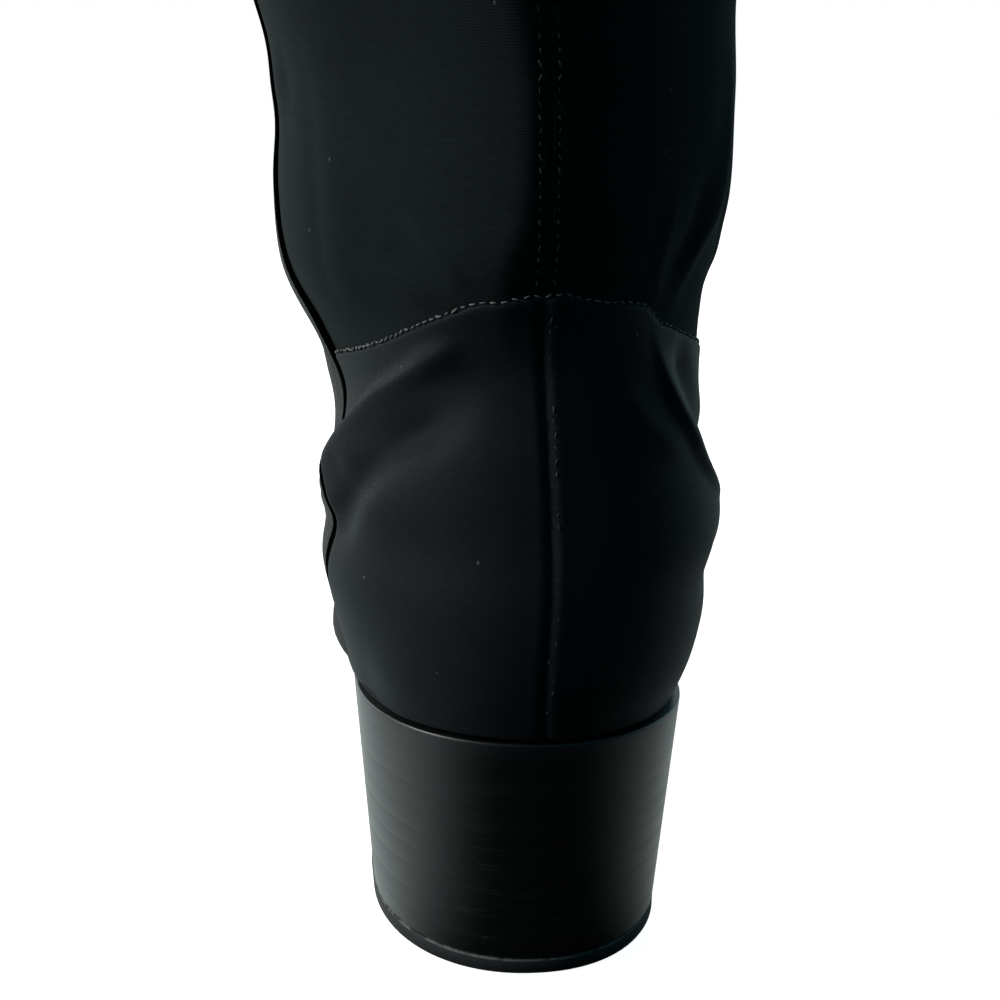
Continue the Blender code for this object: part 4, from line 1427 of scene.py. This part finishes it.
    def heel(self, wardrobe: Wardrobe) -> None:
        """The stacked heel: rings from foot to seat with a fine groove between two layers."""
        last, low = self.skin.last, self.heel_low
        rise = [(mark + step, -deep * share) for mark, deep in self.layers
                for step, share in self.groove]
        foot_edge = [(low + step, deep) for step, deep in self.foot_round]
        height, depth = np.array([*foot_edge, *rise, *self.rim_round]).T
        foot, top = heel_outline(*self.heel_foot), heel_outline(*self.heel_top)
        seat = last.sole_underside(top[:, 1]) + self.seat_gap(top[:, 1]) - self.heel_gap
        share = (height - low) / (self.heel_high - low)
        line = foot[None] + (top - foot)[None] * share[:, None, None]
        line = line + unit(line - (0.0, self.heel_middle)) * depth[:, None, None]
        level = low + (seat[None] - low) * share[:, None]
        piece = loft("stacked_heel", self.solid(line, level), sharp=CRISP)
        dress(piece, wardrobe["lacquer"], Slot.LACQUER, "heel")

    def tip(self, wardrobe: Wardrobe) -> None:
        """The rubber tip, flat on the floor."""
        back, *sizes = self.heel_foot
        rings = []
        for height, inset in self.tip_rings:
            line = heel_outline(back + inset, *(size - inset for size in sizes))
            rings.append(self.solid(line, np.full(len(line), height)))
        piece = loft("heel_tip", np.array(rings), sharp=CRISP)
        dress(piece, wardrobe["tip_rubber"], Slot.RUBBER, "heel_tip")


@dataclass(frozen=True)
class BackRow:
    """A row of stitches beside the back seam, from a low height to a high one."""

    name: str
    offset: float               # from the seam, positive to the outer side
    low: float
    high: float
    pitch: float
    lift: float
    stitch: Stitch


SHAFT_STITCH = Stitch(0.95, 0.16, 0.1, 0.13, 0.5)
BACK_ROWS = (
    BackRow("back_stitches_outer", 1.4, 123.6, 600.0, 2.05, 0.0, SHAFT_STITCH),
    BackRow("back_stitches_inner", -1.4, 123.6, 600.0, 2.05, 0.0, SHAFT_STITCH),
    BackRow("counter_stitches", -1.3, 48.0, 120.0, COUNTER_PITCH, 1.08,
            Stitch(0.9, 0.12, 0.1, 0.1, 0.6)),
)


@dataclass
class Stitching:
    """All rows of stitches."""

    skin: Skin
    arch_stitch: Stitch = Stitch(1.2, 0.22, 0.1, 0.05, 0.4)
    arch_points: int = 1600     # points at which the arched row is looked for
    arch_pitch: float = 1.7
    arch_lift: float = 0.55
    arch_rise: float = 0.05     # how far the row lies above the arched seam
    arch_turn: float = 0.235    # turn beyond which it isn't looked for
    arch_margin: float = 0.003  # turn that is left free before the side seams
    arch_girth: float = 0.62    # share of their radius that the beads have at the back
    # arc from which the beads grow, over how much, and by what share: outer side, inner side
    arch_swells: Table = ((9.0, 14.0, 0.5), (-10.0, -12.0, 0.2))
    back_points: int = 2400     # points at which a row down the back is looked for
    probe: float = 0.01         # turn over which the arc of a turn is measured

    def frame_at(self, level: Array, turn: Array, lift: float) -> tuple[Array, Array, Array]:
        """Places on the skin with the direction of the row and the outward direction.

        Args:
            level: Levels along the row.
            turn: Turns along the row.
            lift: Distance outwards from the upper's face.

        Returns:
            Points in millimetres, unit directions along the row, and unit normals.
        """
        points = self.skin.place(level, turn, lift)[0] / MM
        along = unit(np.gradient(points, axis=0))
        out = self.skin.normal(level, turn)
        return points, along, unit(out - along * (out * along).sum(1, keepdims=True))

    def spaced(self, level: Array, turn: Array, pitch: float) -> tuple[Array, Array]:
        """Levels and turns at even distances along a fine row."""
        points = self.skin.last.surface(level, turn)
        way = np.concatenate([[0.0], np.cumsum(np.linalg.norm(np.diff(points, axis=0), axis=1))])
        marks = np.arange(pitch / 2.0, way[-1], pitch)
        return np.interp(marks, way, level), np.interp(marks, way, turn)

    def arch_row(self, wardrobe: Wardrobe) -> None:
        """Grey beads of thread along the arched seam, thinner at the back than at the sides."""
        fine = np.linspace(-self.arch_turn, self.arch_turn, self.arch_points)
        level = self.skin.level_at_arch(fine, -self.arch_rise)
        outer, inner = (self.skin.turn_at_seam(level, side) for side in Side)
        keep = (fine < outer - self.arch_margin) & (fine > inner + self.arch_margin)
        level, turn = self.spaced(level[keep], fine[keep], self.arch_pitch)
        arc = self.skin.arc(level, turn)
        girth = self.arch_girth + sum(
            rise * ease((arc - start) / reach) for start, reach, rise in self.arch_swells)
        piece = stitch_row("arch_stitches", *self.frame_at(level, turn, self.arch_lift),
                           self.arch_stitch, girth)
        dress(piece, wardrobe["grey_thread"], Slot.CLOTH)

    def back_rows(self, wardrobe: Wardrobe) -> None:
        """The two rows beside the shaft's back seam, and the one beside the counter's."""
        for row in BACK_ROWS:
            height = np.linspace(row.low, row.high, self.back_points)
            level = self.skin.last.level_at(height)
            arc = curve_of(self.skin.folds.seams.back, height) + row.offset
            girth = self.skin.arc(level, np.full(level.shape, self.probe)) / self.probe
            places = self.spaced(level, arc / girth, row.pitch)
            piece = stitch_row(row.name, *self.frame_at(*places, row.lift), row.stitch)
            dress(piece, wardrobe["thread"], Slot.CLOTH)


# ----------------------------------------------------------------------------------- the studio
@dataclass(frozen=True)
class Lamp:
    """A soft rectangular lamp that looks at a point."""

    name: str
    place: Triple
    size: tuple[float, float]
    power: float
    aim: Triple = (0.0, 0.0, 0.15)
    colour: Triple = (1.0, 1.0, 1.0)

    def build(self) -> None:
        """Place the lamp."""
        data = bpy.data.lights.new(self.name, "AREA")
        data.shape = "RECTANGLE"
        data.size, data.size_y = self.size
        data.energy = self.power
        data.color = self.colour
        lamp = bpy.data.objects.new(self.name, data)
        lamp.matrix_world = looking(self.place, Vector(self.aim) - Vector(self.place))
        lamp.visible_camera = False
        bpy.context.scene.collection.objects.link(lamp)


LAMPS = (
    Lamp("outer_key", (1.19, 0.10, 0.75), (0.8, 0.9), 27.0),
    Lamp("outer_rim", (0.75, -0.9, 0.35), (0.6, 1.0), 4.2),
    Lamp("inner_wall", (-0.95, -0.55, 0.35), (0.9, 1.0), 2.4, colour=(0.6, 0.95, 1.0)),
    Lamp("front_fill", (-0.25, -1.6, 1.1), (1.2, 0.8), 14.0, (0.0, -0.1, 0.2)),
)


def looking(place: Triple, direction: Vector) -> Matrix:
    """Where a camera or lamp stands that looks in a direction."""
    turn = direction.to_track_quat("-Z", "Y").to_matrix().to_4x4()
    return Matrix.Translation(place) @ turn


@dataclass
class Studio:
    """Camera, floor, backdrop and lights."""

    eye: Triple = (0.0424, 0.2819, 0.156)
    look: Triple = (-0.12626, -0.95896, -0.25376)
    lens: float = 57.6
    roll: float = 1.5           # degrees
    reach: float = 6.0          # how far the floor goes from the heel
    drop: float = 0.0002        # how far it lies under the boot
    glow: float = 0.94          # how bright the floor is to the eye without any lamp
    full_glow: tuple[float, float] = (0.25, 0.9)    # distances over which it grows to full white
    backdrop: float = 0.12      # how much the backdrop lights the boot, with a cool tint
    backdrop_tint: Colour = (0.18, 0.85, 1.15, 1.0)
    # the floor's colour to the boot and to the eye, and the tint of its glow in polish
    floor_dim: Colour = (0.02, 0.02, 0.02, 1.0)
    floor_pale: Colour = (0.6, 0.6, 0.6, 1.0)
    floor_tint: Colour = (0.88, 1.0, 0.98, 1.0)
    # bearings from the heel's back between which the floor starts to show in polish, and how much
    outer_glow: Triple = (0.42, 1.7, 1.02)
    inner_glow: Triple = (0.5, 2.3, 0.72)

    def camera(self) -> None:
        """A camera behind the heel, looking slightly down."""
        data = bpy.data.cameras.new("camera")
        data.lens = self.lens
        data.sensor_width = 36.0
        data.clip_start = 0.01
        camera = bpy.data.objects.new("camera", data)
        camera.matrix_world = (looking(self.eye, Vector(self.look))
                               @ Matrix.Rotation(np.radians(self.roll), 4, "Z"))
        bpy.context.scene.collection.objects.link(camera)
        bpy.context.scene.camera = camera

    def floor(self) -> None:
        """A wide pale floor. It glows evenly to the eye and is dim to the boot, so that it shows no
        far edge and the black pieces stay black. In the boot's polish it glows off to the heel's
        sides but not behind it: a glow, though the floor is no lamp, that puts the bright bands of
        reflected light on the heel."""
        corners = np.array([(-1, -1, 0), (1, -1, 0), (1, 1, 0), (-1, 1, 0)]) * self.reach
        floor = make_piece("floor", corners - (0.0, 0.0, self.drop), np.array([[0, 1, 2, 3]]))
        made = bpy.data.materials.new("pale_floor")
        made.use_nodes = True
        n, shader = Nodes(made.node_tree), made.node_tree.nodes["Principled BSDF"]
        seen, glossy, place = n.ray("Is Camera Ray"), n.ray("Is Glossy Ray"), n.place()
        x, y, _ = n.split(place)
        bearing = n.math("ARCTAN2", x, y)
        outer = n.ramp(bearing, *self.outer_glow[:2])
        inner = n.ramp(n.times(bearing, -1.0), *self.inner_glow[:2])
        mirrored = n.times(outer, self.outer_glow[2], n.times(inner, self.inner_glow[2]))
        distance = n.add("ShaderNodeVectorMath", operation="LENGTH")
        n.feed(distance.inputs[0], place)
        glow = n.times(n.ramp(distance.outputs["Value"], *self.full_glow),
                       1.0 - self.glow, self.glow)
        n.give(shader, Base_Color=n.mix(seen, self.floor_dim, self.floor_pale),
               Emission_Color=n.mix(seen, self.floor_tint, WHITE),
               Emission_Strength=n.times(seen, glow, n.times(glossy, mirrored)),
               Roughness=0.9, Specular_IOR_Level=0.0)
        floor.data.materials.append(made)

    def world(self) -> None:
        """A white backdrop that lights the boot only a little."""
        world = bpy.data.worlds.new("white_backdrop")
        world.use_nodes = True
        bpy.context.scene.world = world
        n = Nodes(world.node_tree)
        seen = n.ray("Is Camera Ray")
        n.give(world.node_tree.nodes["Background"],
               Strength=n.times(seen, 1.0 - self.backdrop, self.backdrop),
               Color=n.mix(seen, self.backdrop_tint, WHITE))

    def build(self) -> None:
        """The whole studio."""
        self.camera()
        self.floor()
        self.world()
        for lamp in LAMPS:
            lamp.build()
        bpy.context.scene.view_settings.view_transform = "Standard"


def main() -> None:
    """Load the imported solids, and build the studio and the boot."""
    logging.basicConfig(level=logging.INFO, format="%(message)s")
    for thing in list(bpy.data.objects):
        bpy.data.objects.remove(thing, do_unlink=True)
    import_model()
    Studio().build()
    skin = Skin(Last(), Folds())
    wardrobe = build_wardrobe()
    panels, bottom, stitching = Panels(skin), HeelAndSole(skin), Stitching(skin)
    for build in (Shaft(skin).build, panels.leather_front, panels.counter, bottom.outsole,
                  bottom.insole, bottom.heel, bottom.tip, stitching.arch_row,
                  stitching.back_rows):
        build(wardrobe)


if __name__ == "__main__":
    main()
